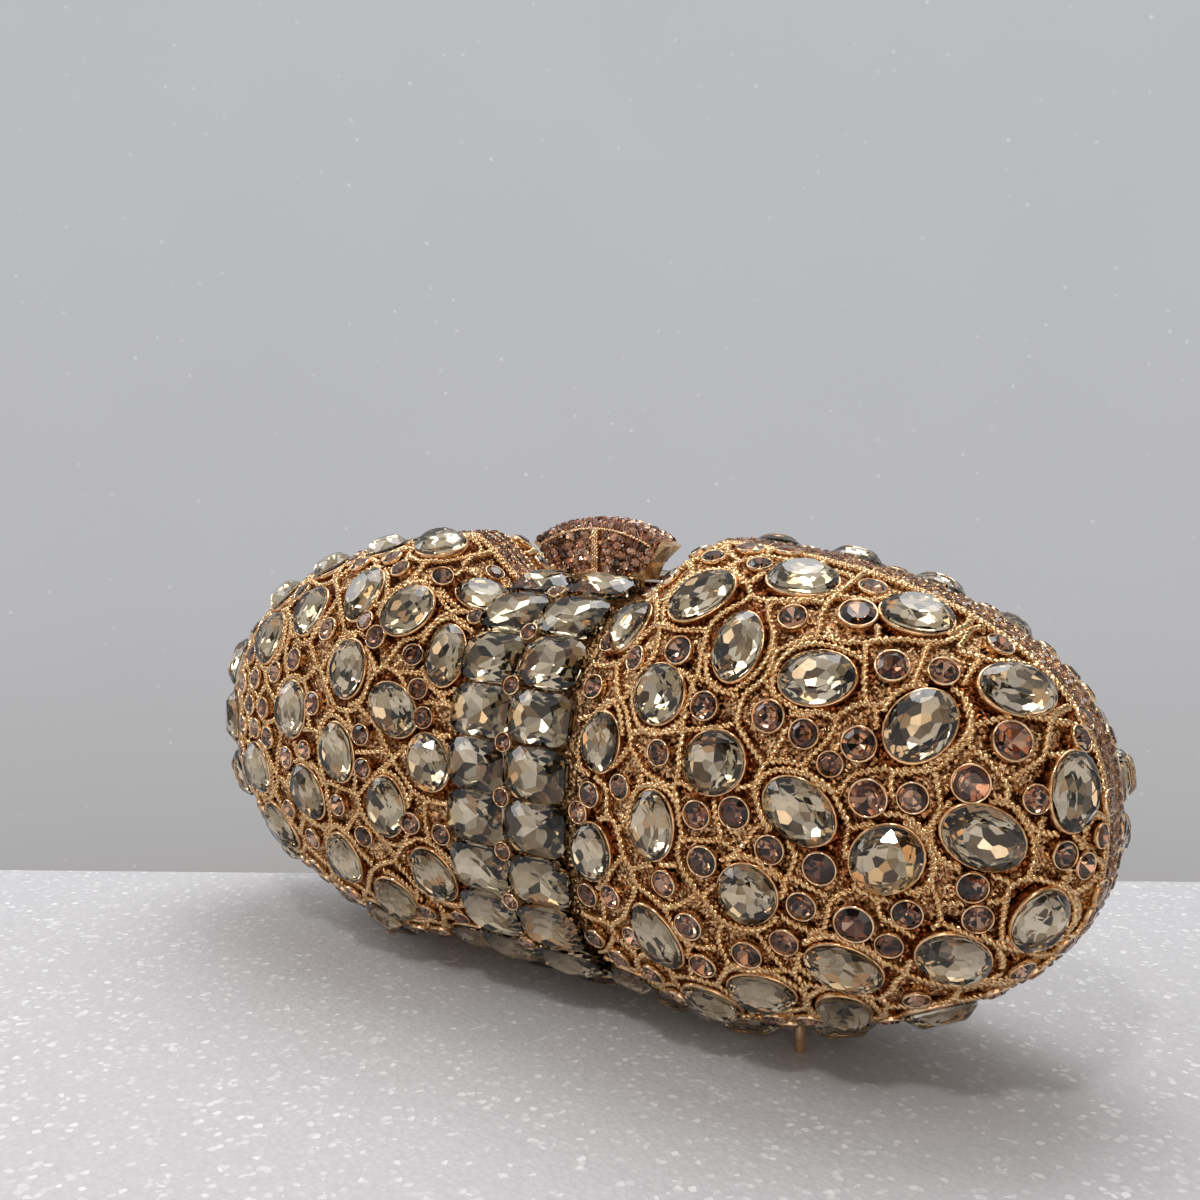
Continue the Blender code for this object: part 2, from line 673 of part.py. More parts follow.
def knob_outline():
    """Corners of the fan-shaped knob in its own plane: base, sides that lean out, and an arched top."""
    tip_height = KNOB_HEIGHT - KNOB_ARC_RISE
    radius = (KNOB_HALF_WIDTH**2 + KNOB_ARC_RISE**2) / (2 * KNOB_ARC_RISE)
    half_angle = math.asin(KNOB_HALF_WIDTH / radius)
    points = []
    for step in range(ROUND_STEPS + 1):
        angle = half_angle * (1 - 2 * step / ROUND_STEPS)
        points.append((radius * math.sin(angle), KNOB_HEIGHT - radius * (1 - math.cos(angle))))
    side = KNOB_BASE_HALF_WIDTH + (KNOB_HALF_WIDTH - KNOB_BASE_HALF_WIDTH) * KNOB_WAIST_SHARE
    left = [(-side, tip_height / 2), (-KNOB_BASE_HALF_WIDTH, 0.0)]
    right = [(KNOB_BASE_HALF_WIDTH, 0.0), (side, tip_height / 2)]
    return points + left + right


def clasp_knob(base_height):
    """The fan plate with its raised rim and middle bar round two sunk fields."""
    outline = knob_outline()
    bm = bmesh.new()
    ring = bmesh.ops.create_circle(bm, cap_ends=True, segments=len(outline), radius=1.0)["verts"]
    for vert, (x, height) in zip(ring, outline):
        vert.co = Vector((x, -KNOB_FRONT, base_height + height))
    for x in (-KNOB_BAR_HALF_WIDTH, KNOB_BAR_HALF_WIDTH):
        bmesh.ops.bisect_plane(
            bm, geom=bm.verts[:] + bm.edges[:] + bm.faces[:], dist=MERGE,
            plane_co=(x, 0.0, 0.0), plane_no=(1.0, 0.0, 0.0),
        )
    fronts = bm.faces[:]
    made = bmesh.ops.extrude_face_region(bm, geom=fronts, use_keep_orig=True)["geom"]
    fresh = [item for item in made if isinstance(item, bmesh.types.BMVert)]
    bmesh.ops.translate(bm, verts=fresh, vec=(0.0, KNOB_THICKNESS, 0.0))
    bmesh.ops.recalc_face_normals(bm, faces=bm.faces[:])
    fields = [
        face for face in bm.faces
        if face.normal.y < -FACING and abs(face.calc_center_median().x) > KNOB_BAR_HALF_WIDTH
    ]
    bmesh.ops.inset_individual(bm, faces=fields, thickness=KNOB_RIM, use_even_offset=True)
    walls = bmesh.ops.extrude_discrete_faces(bm, faces=fields)["faces"]
    bmesh.ops.translate(
        bm, verts=[vert for face in walls for vert in face.verts], vec=(0.0, KNOB_FIELD_DEPTH, 0.0)
    )
    return bm


def strip(path, width):
    """A ribbon across X that follows a path of (y, z) points, as an open bmesh surface."""
    bm = bmesh.new()
    verts = [bmesh.ops.create_vert(bm, co=(-width / 2, y, z))["vert"][0] for y, z in path]
    edges = [bm.edges.new(pair) for pair in zip(verts, verts[1:])]
    made = bmesh.ops.extrude_edge_only(bm, edges=edges)["geom"]
    fresh = [item for item in made if isinstance(item, bmesh.types.BMVert)]
    bmesh.ops.translate(bm, verts=fresh, vec=(width, 0.0, 0.0))
    return bm


def add_hinge_leaf(name, side, knuckles, top, axis_height, group, tools, finish):
    """One leaf: a plate under its rim with every second knuckle of the barrel, bored for the pin."""
    near = KNUCKLE_RADIUS + GAP
    half = HINGE_LENGTH / 2
    ys = sorted((side * near, side * (SEAM_GAP / 2 + LEAF_REACH)))
    plate = box((-half, ys[0], top - LEAF_THICKNESS), (half, ys[1], top))
    leaf = add_object(name, plate, group, finish)
    pitch = HINGE_LENGTH / HINGE_KNUCKLES
    for number in knuckles:
        start = -half + number * pitch + (GAP / 2 if number else 0.0)
        end = -half + (number + 1) * pitch - (GAP / 2 if number < HINGE_KNUCKLES - 1 else 0.0)
        barrel = add_tool(
            f"{name}_barrel_{number}", rod_along_x(KNUCKLE_RADIUS, start, end, axis_height, ROUND_STEPS), tools
        )
        ys = sorted((0.0, side * (near + LEAF_THICKNESS / 2)))
        tab = add_tool(f"{name}_tab_{number}", box((start, ys[0], axis_height), (end, ys[1], top)), tools)
        combine(leaf, barrel, "UNION")
        combine(leaf, tab, "UNION")
    bore = rod_along_x(PIN_RADIUS + GAP, -HINGE_LENGTH, HINGE_LENGTH, axis_height, ROUND_STEPS)
    combine(leaf, add_tool(f"{name}_bore", bore, tools), "DIFFERENCE")
    return leaf


def foot_profile(top):
    """A turned post with a rounded lower end, as a bmesh made by a full spin."""
    bm = bmesh.new()
    points = (
        (0.0, top), (FOOT_RADIUS, top), (FOOT_RADIUS, FOOT_EDGE),
        (FOOT_RADIUS - FOOT_EDGE, 0.0), (0.0, 0.0),
    )
    verts = [bmesh.ops.create_vert(bm, co=(radius, 0.0, z))["vert"][0] for radius, z in points]
    edges = [bm.edges.new(pair) for pair in zip(verts, verts[1:])]
    bmesh.ops.spin(
        bm, geom=verts + edges, cent=(0.0, 0.0, 0.0), axis=(0.0, 0.0, 1.0),
        angle=2 * math.pi, steps=ROUND_STEPS, use_merge=True, use_duplicate=False,
    )
    bmesh.ops.remove_doubles(bm, verts=bm.verts[:], dist=MERGE)
    return bm


def move_origin(piece, parent):
    """Hang a piece, or a tool that cuts it, on its joint's empty without moving it."""
    piece.data.transform(Matrix.Translation(-parent.location))
    piece.parent = parent


def build():
    for old in list(bpy.data.objects):
        bpy.data.objects.remove(old, do_unlink=True)
    group = bpy.data.collections.new("minaudiere")
    tools = bpy.data.collections.new("cutters")
    bpy.context.scene.collection.children.link(group)
    bpy.context.scene.collection.children.link(tools)

    gold = material("rose_gold", (0.62, 0.34, 0.17), 0.34, 1.0)
    dark_gold = material("antique_gold", (0.45, 0.23, 0.11), 0.45, 1.0)
    smoke = material("smoke_crystal", (0.32, 0.31, 0.25), 0.08, 0.3)
    blush = material("champagne_crystal", (0.42, 0.24, 0.19), 0.12, 0.3)
    satin = material("champagne_satin", (0.55, 0.44, 0.33), 0.7, 0.0)
    steel = material("spring_steel", (0.6, 0.6, 0.6), 0.3, 1.0)

    rim_bottom = float(outline_bottom(0.0)) - RIM_PROUD
    leaf_top = rim_bottom - GAP
    axis_height = leaf_top - LEAF_THICKNESS - GAP - KNUCKLE_RADIUS / 2
    lid_axis = bpy.data.objects.new("lid_axis", None)
    lid_axis.location = (0.0, 0.0, axis_height)
    group.objects.link(lid_axis)

    pieces = {}
    cores, slabs = {}, {}
    for side in ("front", "rear"):
        shell = front_cup(SHELL_LIFT)
        lining = front_cup(LINING_LIFT)
        rim = rim_ring(RIM_PROUD)
        band = bow_band()
        core = front_core(SHELL_LIFT + GAP)
        slab = seam_slab()
        if side == "rear":
            for bm in (shell, lining, rim, band, core, slab):
                turn_about_z(bm)
        cores[side] = add_tool(f"{side}_core", core, tools)
        slabs[side] = add_tool(f"{side}_slab", slab, tools)
        pieces[f"{side}_shell"] = add_object(f"{side}_shell", shell, group, gold)
        solidify(pieces[f"{side}_shell"], SHELL_WALL)
        pieces[f"{side}_lining"] = add_object(f"{side}_lining", lining, group, satin)
        solidify(pieces[f"{side}_lining"], LINING_WALL)
        pieces[f"{side}_rim"] = add_object(f"{side}_rim", rim, group, gold)
        solidify(pieces[f"{side}_rim"], RIM_THICKNESS)
        pieces[f"{side}_band"] = add_object(f"{side}_band", band, group, smoke)
        combine(pieces[f"{side}_shell"], slabs[side], "DIFFERENCE")
        combine(pieces[f"{side}_lining"], slabs[side], "DIFFERENCE")
        combine(pieces[f"{side}_band"], cores[side], "DIFFERENCE")

    lobes = {
        "front_right": (RIGHT_STONE_SHARES, 1), "front_left": (LEFT_STONE_SHARES, -1),
        "rear_left": (RIGHT_STONE_SHARES, 1), "rear_right": (LEFT_STONE_SHARES, -1),
    }
    for name, (table, side_sign) in lobes.items():
        skin = filigree_skin(table, side_sign)
        rail = pave_rail(side_sign)
        if name.startswith("rear"):
            turn_about_z(skin)
            turn_about_z(rail)
        side = name.split("_")[0]
        filigree = add_object(f"{name}_filigree", skin, group, dark_gold)
        combine(filigree, cores[side], "DIFFERENCE")
        combine(filigree, slabs[side], "DIFFERENCE")
        pieces[f"{name}_filigree"] = filigree
        pieces[f"{name}_pave"] = add_object(f"{name}_pave", rail, group, blush)

    add_feet(pieces, group, tools, gold)
    add_clasp(pieces, group, tools, gold, steel)

    even = [number for number in range(HINGE_KNUCKLES) if number % 2 == 0]
    odd = [number for number in range(HINGE_KNUCKLES) if number % 2 == 1]
    pieces["rear_hinge_leaf"] = add_hinge_leaf(
        "rear_hinge_leaf", 1, even, leaf_top, axis_height, group, tools, gold
    )
    pieces["front_hinge_leaf"] = add_hinge_leaf(
        "front_hinge_leaf", -1, odd, leaf_top, axis_height, group, tools, gold
    )
    reach = HINGE_LENGTH / 2 + PIN_OVERHANG
    pin = rod_along_x(PIN_RADIUS, -reach, reach, axis_height, ROUND_STEPS)
    pieces["hinge_pin"] = add_object("hinge_pin", pin, group, steel)

    bpy.context.view_layer.update()
    for name, piece in pieces.items():
        if name.startswith("front") or name == "strike_plate":
            move_origin(piece, lid_axis)
    for tool in tools.objects:
        if tool.name.startswith("front"):
            move_origin(tool, lid_axis)
    for piece in pieces.values():
        soften(piece, math.radians(SHARP_DEGREES))


def add_feet(pieces, group, tools, finish):
    """Four posts that stand through the skins on the shells."""
    bpy.context.view_layer.update()
    depsgraph = bpy.context.evaluated_depsgraph_get()
    for side, y in (("front", -FOOT_HALF_TRACK), ("rear", FOOT_HALF_TRACK)):
        tree = BVHTree.FromObject(pieces[f"{side}_shell"], depsgraph)
        for lobe, x in (("left", -FOOT_HALF_SPREAD), ("right", FOOT_HALF_SPREAD)):
            below = Vector((x, y, -BODY_HALF_HEIGHT))
            heights = []
            for dx in (-FOOT_RADIUS, FOOT_RADIUS):
                for dy in (-FOOT_RADIUS, FOOT_RADIUS):
                    hit = tree.ray_cast(below + Vector((dx, dy, 0.0)), Vector((0.0, 0.0, 1.0)))[0]
                    heights.append(hit.z)
            top = min(heights) - GAP
            name = f"{side}_{lobe}"
            foot = foot_profile(top)
            bmesh.ops.translate(foot, verts=foot.verts[:], vec=(x, y, 0.0))
            pieces[f"{name}_foot"] = add_object(f"{name}_foot", foot, group, finish)
            hole = bmesh.new()
            bmesh.ops.create_cone(
                hole, cap_ends=True, segments=ROUND_STEPS, radius1=FOOT_RADIUS + GAP,
                radius2=FOOT_RADIUS + GAP, depth=top * 2, matrix=Matrix.Translation((x, y, top)),
            )
            combine(pieces[f"{name}_filigree"], add_tool(f"{name}_foot_hole", hole, tools), "DIFFERENCE")


def add_clasp(pieces, group, tools, gold, steel):
    """The knob with its tongue in the rear rim's slot, the leaf spring under it and the strike plate."""
    rim_top = float(outline_top(0.0)) + RIM_PROUD
    rim_under = rim_top - RIM_THICKNESS
    base_height = rim_top + KNOB_TRAVEL + GAP
    tongue_y = SEAM_GAP / 2 + RIM_WIDTH / 2
    tongue_low = rim_under - TONGUE_REACH
    half = TONGUE_THICKNESS / 2
    knob = add_object("clasp_knob", clasp_knob(base_height), group, gold)
    tongue = box(
        (-TONGUE_WIDTH / 2, tongue_y - half, tongue_low),
        (TONGUE_WIDTH / 2, tongue_y + half, base_height + KNOB_RIM),
    )
    combine(knob, add_tool("knob_tongue", tongue, tools), "UNION")
    slot = box(
        (-TONGUE_WIDTH / 2 - GAP, tongue_y - half - GAP, rim_under - RIM_THICKNESS),
        (TONGUE_WIDTH / 2 + GAP, tongue_y + half + GAP, rim_top + RIM_THICKNESS),
    )
    combine(pieces["rear_rim"], add_tool("rear_rim_slot", slot, tools), "DIFFERENCE")
    pieces["clasp_knob"] = knob

    strike_top = rim_under - GAP
    lip_y = -SEAM_GAP / 2 - STRIKE_REACH
    plate_path = (
        (-SEAM_GAP / 2 - GAP, strike_top), (lip_y, strike_top), (lip_y, strike_top - STRIKE_DROP),
    )
    strike = add_object("strike_plate", strip(plate_path, STRIKE_WIDTH), group, steel)
    solidify(strike, STRIKE_THICKNESS)
    pieces["strike_plate"] = strike

    spring_top = tongue_low - SPRING_REST_GAP
    back_y = tongue_y + half + 2 * GAP + SPRING_THICKNESS
    tooth_y = lip_y - STRIKE_THICKNESS - 2 * GAP
    spring_path = (
        (back_y, rim_under - GAP), (back_y, spring_top), (tooth_y - SPRING_THICKNESS, spring_top),
        (tooth_y - SPRING_THICKNESS, spring_top + TOOTH_RISE),
    )
    spring = add_object("latch_spring", strip(spring_path, SPRING_WIDTH), group, steel)
    solidify(spring, SPRING_THICKNESS)
    pieces["latch_spring"] = spring


build()
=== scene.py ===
import math

import bmesh
import bpy
import numpy as np
from mathutils import Matrix, Vector, noise


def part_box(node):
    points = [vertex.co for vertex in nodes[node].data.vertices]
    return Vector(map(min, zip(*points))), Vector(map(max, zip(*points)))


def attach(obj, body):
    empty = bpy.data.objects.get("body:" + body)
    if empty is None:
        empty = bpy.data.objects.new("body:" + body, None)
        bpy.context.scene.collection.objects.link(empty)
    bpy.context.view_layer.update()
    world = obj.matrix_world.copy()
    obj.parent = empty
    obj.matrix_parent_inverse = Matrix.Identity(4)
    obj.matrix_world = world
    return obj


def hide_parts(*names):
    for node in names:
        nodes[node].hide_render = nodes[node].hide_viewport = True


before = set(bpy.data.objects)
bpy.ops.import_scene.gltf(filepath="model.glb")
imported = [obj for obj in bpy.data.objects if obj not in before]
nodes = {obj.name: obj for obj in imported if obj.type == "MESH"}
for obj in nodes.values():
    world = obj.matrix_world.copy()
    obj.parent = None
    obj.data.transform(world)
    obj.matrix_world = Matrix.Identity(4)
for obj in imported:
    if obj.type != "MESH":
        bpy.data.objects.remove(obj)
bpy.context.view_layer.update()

# The camera of the photograph: just above table height, a little to the right of the bag's front, and
# close, so that the right lobe looms. Its place and lens come from a fit to the bag's outline.
camera_data = bpy.data.cameras.new("photo_camera")
camera_data.lens = 36.34
camera_data.sensor_width = 36.0
camera_data.clip_start = 0.01
camera = bpy.data.objects.new("photo_camera", camera_data)
camera.location = (0.14893, -0.21318, 0.10361)
look = Vector((-0.5721, 0.8160, -0.0827))
roll = Matrix.Rotation(math.radians(0.57), 3, "Z")
camera.rotation_euler = (look.to_track_quat("-Z", "Y").to_matrix() @ roll).to_euler()
bpy.context.scene.collection.objects.link(camera)
bpy.context.scene.camera = camera
bpy.context.scene.view_settings.view_transform = "Standard"

# The backdrop: a sheet of fine white foam on the table, its tiny glints painted into its colour as bright
# specks, and the same foam hung up as a wall behind the bag. The wall is painted on the world and, past its
# foot, on the floor's far part.
wall_tones = (
    (0.0, (0.385, 0.37, 0.36)), (0.1, (0.43, 0.425, 0.43)), (0.3, (0.475, 0.478, 0.495)),
    (0.45, (0.485, 0.488, 0.51)), (1.0, (0.51, 0.52, 0.545)),
)
wall_distance, table_size = 0.327, 3.0
fade_start, fade_end = 0.32, 0.8


def feed(step, feeds):
    """Set inputs of a node to values, or join them to the outputs of other nodes."""
    for socket, value in feeds.items():
        if isinstance(value, bpy.types.NodeSocket):
            step.id_data.links.new(value, step.inputs[socket])
        else:
            step.inputs[socket].default_value = value
    return step


def finish_step(tree, kind, feeds, **settings):
    """Add one node to the recipe of a finish."""
    step = tree.nodes.new("ShaderNode" + kind)
    for field, value in settings.items():
        setattr(step, field, value)
    return feed(step, feeds)


def tone_ramp(tree, source, stops, interpolation="LINEAR"):
    """Colours laid over a source between 0 and 1, each from its own place on."""
    ramp = finish_step(tree, "ValToRGB", {"Fac": source})
    ramp.color_ramp.interpolation = interpolation
    for number, (spot, tone) in enumerate(stops):
        stop = ramp.color_ramp.elements[number] if number < 2 else ramp.color_ramp.elements.new(spot)
        stop.position = spot
        stop.color = (*tone, 1.0)
    return ramp.outputs["Color"]


def number_step(tree, operation, *values):
    """Work out a number from up to three others."""
    return finish_step(tree, "Math", dict(enumerate(values)), operation=operation).outputs["Value"]


def vector_step(tree, operation, *values, result="Vector"):
    """Work out a vector, or a number about it, from up to three others."""
    return finish_step(tree, "VectorMath", dict(enumerate(values)), operation=operation).outputs[result]


def range_step(tree, source, start=0.0, end=1.0, low=0.0, high=1.0, ease="LINEAR"):
    """Bring a number from one range to another."""
    spans = {"Value": source, "From Min": start, "From Max": end, "To Min": low, "To Max": high}
    return finish_step(tree, "MapRange", spans, interpolation_type=ease).outputs["Result"]


def mix_step(tree, share, one, other, blend="MIX"):
    """Mix two colours."""
    parts = {"Factor": share, "A": one, "B": other}
    return finish_step(tree, "Mix", parts, data_type="RGBA", blend_type=blend).outputs["Result"]


def foam_wall(tree, way):
    """Grey of the hung foam by the slope of a direction, with a few glints in it."""
    slope = finish_step(tree, "SeparateXYZ", {"Vector": way}).outputs["Z"]
    tone = tone_ramp(tree, range_step(tree, slope, -0.32, 0.5), wall_tones)
    cloud = finish_step(tree, "TexNoise", {"Scale": 9.0, "Detail": 5.0, "Vector": way}).outputs["Fac"]
    cells = finish_step(tree, "TexVoronoi", {"Scale": 85.0, "Vector": way}).outputs
    chosen = finish_step(tree, "SeparateColor", {"Color": cells["Color"]}).outputs["Red"]
    size = range_step(tree, cells["Distance"], 0.16, 0.05, high=0.3)
    glow = number_step(tree, "MULTIPLY", size, range_step(tree, chosen, 0.6))
    level = number_step(tree, "ADD", range_step(tree, cloud, low=0.98, high=1.02), glow)
    grey = finish_step(tree, "VectorMath", {"Vector": tone, "Scale": level}, operation="SCALE")
    return grey.outputs["Vector"]


def kept_mesh(bm, name):
    """Turn a finished bmesh into a mesh and free it."""
    mesh = bpy.data.meshes.new(name)
    bm.to_mesh(mesh)
    bm.free()
    return mesh


sheet = bmesh.new()
bmesh.ops.create_grid(sheet, x_segments=1, y_segments=1, size=table_size)
floor = bpy.data.objects.new("table_floor", kept_mesh(sheet, "table_floor"))
bpy.context.scene.collection.objects.link(floor)

foam = bpy.data.materials.new("white_foam")
foam.use_nodes = True
tree = foam.node_tree
place = finish_step(tree, "TexCoord", {}).outputs["Object"]
glint = finish_step(tree, "TexVoronoi", {"Scale": 900.0, "Vector": place}).outputs
paper = tone_ramp(tree, glint["Distance"], ((0.0, (0.6, 0.595, 0.61)), (1.0, (0.53, 0.525, 0.54))))
# Painted glints: sparse bright specks added to the foam's colour.
painted_glints = tone_ramp(tree, glint["Color"], ((0.74, (0.0, 0.0, 0.0)), (0.95, (0.26, 0.26, 0.26))))
bump = finish_step(tree, "Bump", {"Strength": 0.3, "Distance": 0.0004, "Height": glint["Distance"]})
foam_colour = vector_step(tree, "ADD", paper, painted_glints)
foam_looks = {"Roughness": 0.6, "Base Color": foam_colour, "Normal": bump.outputs["Normal"]}
shader = feed(tree.nodes["Principled BSDF"], foam_looks)

sight = Vector((look.x, look.y, 0.0)).normalized()
wall_foot = camera.location.xy.to_3d().dot(sight) + wall_distance
along_sight = vector_step(tree, "DOT_PRODUCT", place, sight, result="Value")
beyond = number_step(tree, "GREATER_THAN", along_sight, wall_foot)
far = vector_step(tree, "LENGTH", place, result="Value")
hung = number_step(tree, "MAXIMUM", beyond, range_step(tree, far, fade_start, fade_end, ease="SMOOTHSTEP"))
ray = finish_step(tree, "LightPath", {}).outputs
mirrored = number_step(tree, "ADD", ray["Is Glossy Ray"], ray["Is Transmission Ray"])
seen = number_step(tree, "MINIMUM", number_step(tree, "ADD", mirrored, ray["Is Camera Ray"]), 1.0)
wall_way = vector_step(tree, "NORMALIZE", vector_step(tree, "SUBTRACT", place, camera.location))
wall = finish_step(tree, "Emission", {"Color": foam_wall(tree, wall_way)}).outputs["Emission"]
painted = number_step(tree, "MULTIPLY", hung, seen)
surface = finish_step(tree, "MixShader", {"Fac": painted, 1: shader.outputs["BSDF"], 2: wall})
feed(tree.nodes["Material Output"], {"Surface": surface.outputs["Shader"]})
floor.data.materials.append(foam)

# The light of the room: the pale wall all round, a paler ceiling, and a dim patch above the table's front,
# where the photographer stands. Camera, gold and stones all see it; a window and three lamps add to it.
ceiling_white, dim_brown = (0.76, 0.76, 0.77, 1.0), (0.12, 0.1, 0.08, 1.0)
dim_way = Vector((0.62, -0.75, 0.35)).normalized()
bag_middle = Vector((0.0, 0.0, 0.05))
room = bpy.data.worlds.new("room")
bpy.context.scene.world = room
room.use_nodes = True
tree = room.node_tree
way = finish_step(tree, "TexCoord", {}).outputs["Generated"]
height = finish_step(tree, "SeparateXYZ", {"Vector": way}).outputs["Z"]
ceiling_share = range_step(tree, height, 0.5, 0.75, ease="SMOOTHSTEP")
under_ceiling = mix_step(tree, ceiling_share, foam_wall(tree, way), ceiling_white)
dim_side = vector_step(tree, "DOT_PRODUCT", way, dim_way, result="Value")
dim_share = range_step(tree, dim_side, 0.5, 0.85, ease="SMOOTHSTEP")
dim_part = number_step(tree, "MULTIPLY", dim_share, range_step(tree, height, 0.08, 0.2))
feed(tree.nodes["Background"], {"Color": mix_step(tree, dim_part, under_ceiling, dim_brown)})
for name, energy, size, warmth, spot in (
    ("window_light", 1.4, 0.35, 0.0, (-0.65, -0.25, 0.5)),
    ("ceiling_light", 3.5, 0.5, 0.0, (-0.06, 0.24, 0.85)),
    ("spark_lamp", 1.0, 0.06, 0.1, (0.12, -0.4, 0.65)),
    ("table_glow", 0.65, 0.4, 0.7, (0.34, -0.52, 0.2)),
):
    lamp_data = bpy.data.lights.new(name, "AREA")
    lamp_data.energy = energy
    lamp_data.color = (1.0, 1.0 - 0.25 * warmth, 1.0 - 0.45 * warmth)
    lamp_data.size = size
    lamp = bpy.data.objects.new(name, lamp_data)
    lamp.location = spot
    lamp.rotation_euler = (bag_middle - Vector(spot)).to_track_quat("-Z", "Y").to_euler()
    bpy.context.scene.collection.objects.link(lamp)

# The two half shells and their rims: drawn brass, plated in rose gold and polished, with a fine grain left
# in the plating. They come from the CAD model as they are.


def gold_finish(name, bright, dark, roughness, grain, depth):
    """Plated metal whose colour and gloss vary over its grain."""
    made = bpy.data.materials.new(name)
    made.use_nodes = True
    tree = made.node_tree
    place = finish_step(tree, "TexCoord", {}).outputs["Object"]
    cloud = finish_step(tree, "TexNoise", {"Scale": grain, "Detail": 4.0, "Vector": place}).outputs["Fac"]
    tone = tone_ramp(tree, cloud, ((0.35, dark), (0.6, bright)))
    gloss = range_step(tree, cloud, low=roughness * 1.35, high=roughness * 0.75)
    bump = finish_step(tree, "Bump", {"Strength": 0.5, "Distance": depth, "Height": cloud})
    looks = {"Metallic": 1.0, "Base Color": tone, "Roughness": gloss, "Normal": bump.outputs["Normal"]}
    feed(tree.nodes["Principled BSDF"], looks)
    return made


def plate(names, finish):
    """Give CAD nodes a finish."""
    for name in names:
        nodes[name].material_slots[0].material = finish


plated_gold = gold_finish("plated_gold", (0.86, 0.57, 0.32), (0.7, 0.41, 0.2), 0.24, 420.0, 0.00002)
plate(("front_shell", "rear_shell", "front_rim", "rear_rim"), plated_gold)

# The ground of the filigree: a cast skin over each lobe, sanded to glittering grains, and darkened in the
# hollows round the stones and in its low lumps by painted shade with some reddish patina. It is drawn on
# the bow's own sections, unrolled from band to tip.
half_length, half_height, middle_height = 0.1045, 0.0475, 0.0485
lobe_depth, waist_depth = 0.0355, 0.0305
lobe_start, seam_edge = 0.0154, 0.00475
notch_drop, notch_start, notch_climb = 0.011, 0.017, 0.017
arch_rise, waist_end, waist_fall = 0.005, 0.014, 0.03
top_power, bottom_power, depth_power, section_power = 2.5, 2.3, 2.7, 1.2
chart_columns, chart_rows, chart_batch = 241, 361, 6000
feel_step, feel_turn = 0.0003, 0.02
skin_wall, skin_sink, hollow_sink, seat_sink, lump_height = 0.0006, 0.0003, 0.0006, 0.0011, 0.0002
skin_end, seat_softness, hollow_reach, lump_scale, weld_distance = 0.985, 0.0006, 0.0024, 700, 0.00002
# Colour of the painted shade, with some reddish patina, in the hollows round the stones.
hollow_shade_and_patina = (0.3, 0.078, 0.016, 1.0)


def smooth_step(share):
    """Ease from 0 to 1."""
    share = np.clip(share, 0.0, 1.0)
    return share * share * (3 - 2 * share)


def oval_share(x, power):
    """Share of its full size that a lobe still has at a length."""
    share = np.clip(np.abs(x) / half_length, 0.0, 1.0)
    return (1 - share**power) ** (1 / power)


def bow_depth(x):
    """Half depth of the bare bow, waist included."""
    fall = smooth_step((np.abs(x) - waist_end) / waist_fall)
    return waist_depth + (lobe_depth * oval_share(x, depth_power) - waist_depth) * fall


def bow_point(x, turn):
    """Point of the bare bow at a length and a turn from the top seam over the front."""
    climb = smooth_step((np.abs(x) - notch_start) / notch_climb)
    fall = smooth_step((np.abs(x) - waist_end) / waist_fall)
    top = middle_height + half_height * oval_share(x, top_power) - notch_drop * (1 - climb)
    bottom = middle_height - half_height * oval_share(x, bottom_power) + arch_rise * (1 - fall)
    sine, cosine = np.sin(turn), np.cos(turn)
    y = -bow_depth(x) * np.sign(sine) * np.abs(sine) ** (1 / section_power)
    z = (top + bottom) / 2 + (top - bottom) / 2 * np.sign(cosine) * np.abs(cosine) ** (1 / section_power)
    return np.stack(np.broadcast_arrays(x, y, z), axis=-1)


def lifted_point(x, turn, lift):
    """Points that stand lift off the bare bow."""
    x, turn, lift = np.broadcast_arrays(x, turn, lift)
    inner = np.clip(x, -half_length + 2 * feel_step, half_length - 2 * feel_step)
    across = bow_point(inner + feel_step, turn) - bow_point(inner - feel_step, turn)
    around = bow_point(inner, turn + feel_turn) - bow_point(inner, turn - feel_turn)
    normal = np.cross(around, across)
    normal /= np.linalg.norm(normal, axis=-1, keepdims=True)
    return bow_point(x, turn) + normal * lift[..., None]


def run_length(points):
    """Length along a path, or along each of several, up to each of its points."""
    steps = np.linalg.norm(np.diff(points, axis=-2), axis=-1)
    return np.concatenate([np.zeros((*steps.shape[:-1], 1)), np.cumsum(steps, axis=-1)], axis=-1)


def lobe_lengths(count):
    """Lengths from the band to the tip, closer together near the tip."""
    return lobe_start + (half_length - lobe_start) * np.sin(np.linspace(0, math.pi / 2, count))


chart_x = lobe_lengths(chart_columns)
chart_turn = np.linspace(0.0, math.pi, chart_rows)
chart_along = run_length(bow_point(chart_x, np.full_like(chart_x, math.pi / 2)))
section_arc = run_length(bow_point(chart_x[:, None], chart_turn[None, :]))
section_middle = np.array([np.interp(math.pi / 2, chart_turn, row) for row in section_arc])


def on_lobe(spots):
    """Lay chart points (along, up the front, off the body) on the right front lobe."""
    laid = []
    for part in np.array_split(np.asarray(spots, float), max(1, len(spots) // chart_batch)):
        x = np.interp(part[:, 0], chart_along, chart_x)
        column = np.interp(x, chart_x, np.arange(float(chart_columns)))
        low = np.minimum(column.astype(int), chart_columns - 2)
        share = (column - low)[:, None]
        arcs = section_arc[low] * (1 - share) + section_arc[low + 1] * share
        middle = section_middle[low] * (1 - share[:, 0]) + section_middle[low + 1] * share[:, 0]
        target = np.clip(middle - part[:, 1], arcs[:, 0], arcs[:, -1])
        cell = np.clip((arcs < target[:, None]).sum(1) - 1, 0, chart_rows - 2)
        rows = np.arange(len(part))
        step = arcs[rows, cell + 1] - arcs[rows, cell]
        turn = chart_turn[cell] + (target - arcs[rows, cell]) / np.maximum(step, 1e-9) * chart_turn[1]
        laid.append(lifted_point(x, turn, part[:, 2]))
    return np.concatenate(laid)


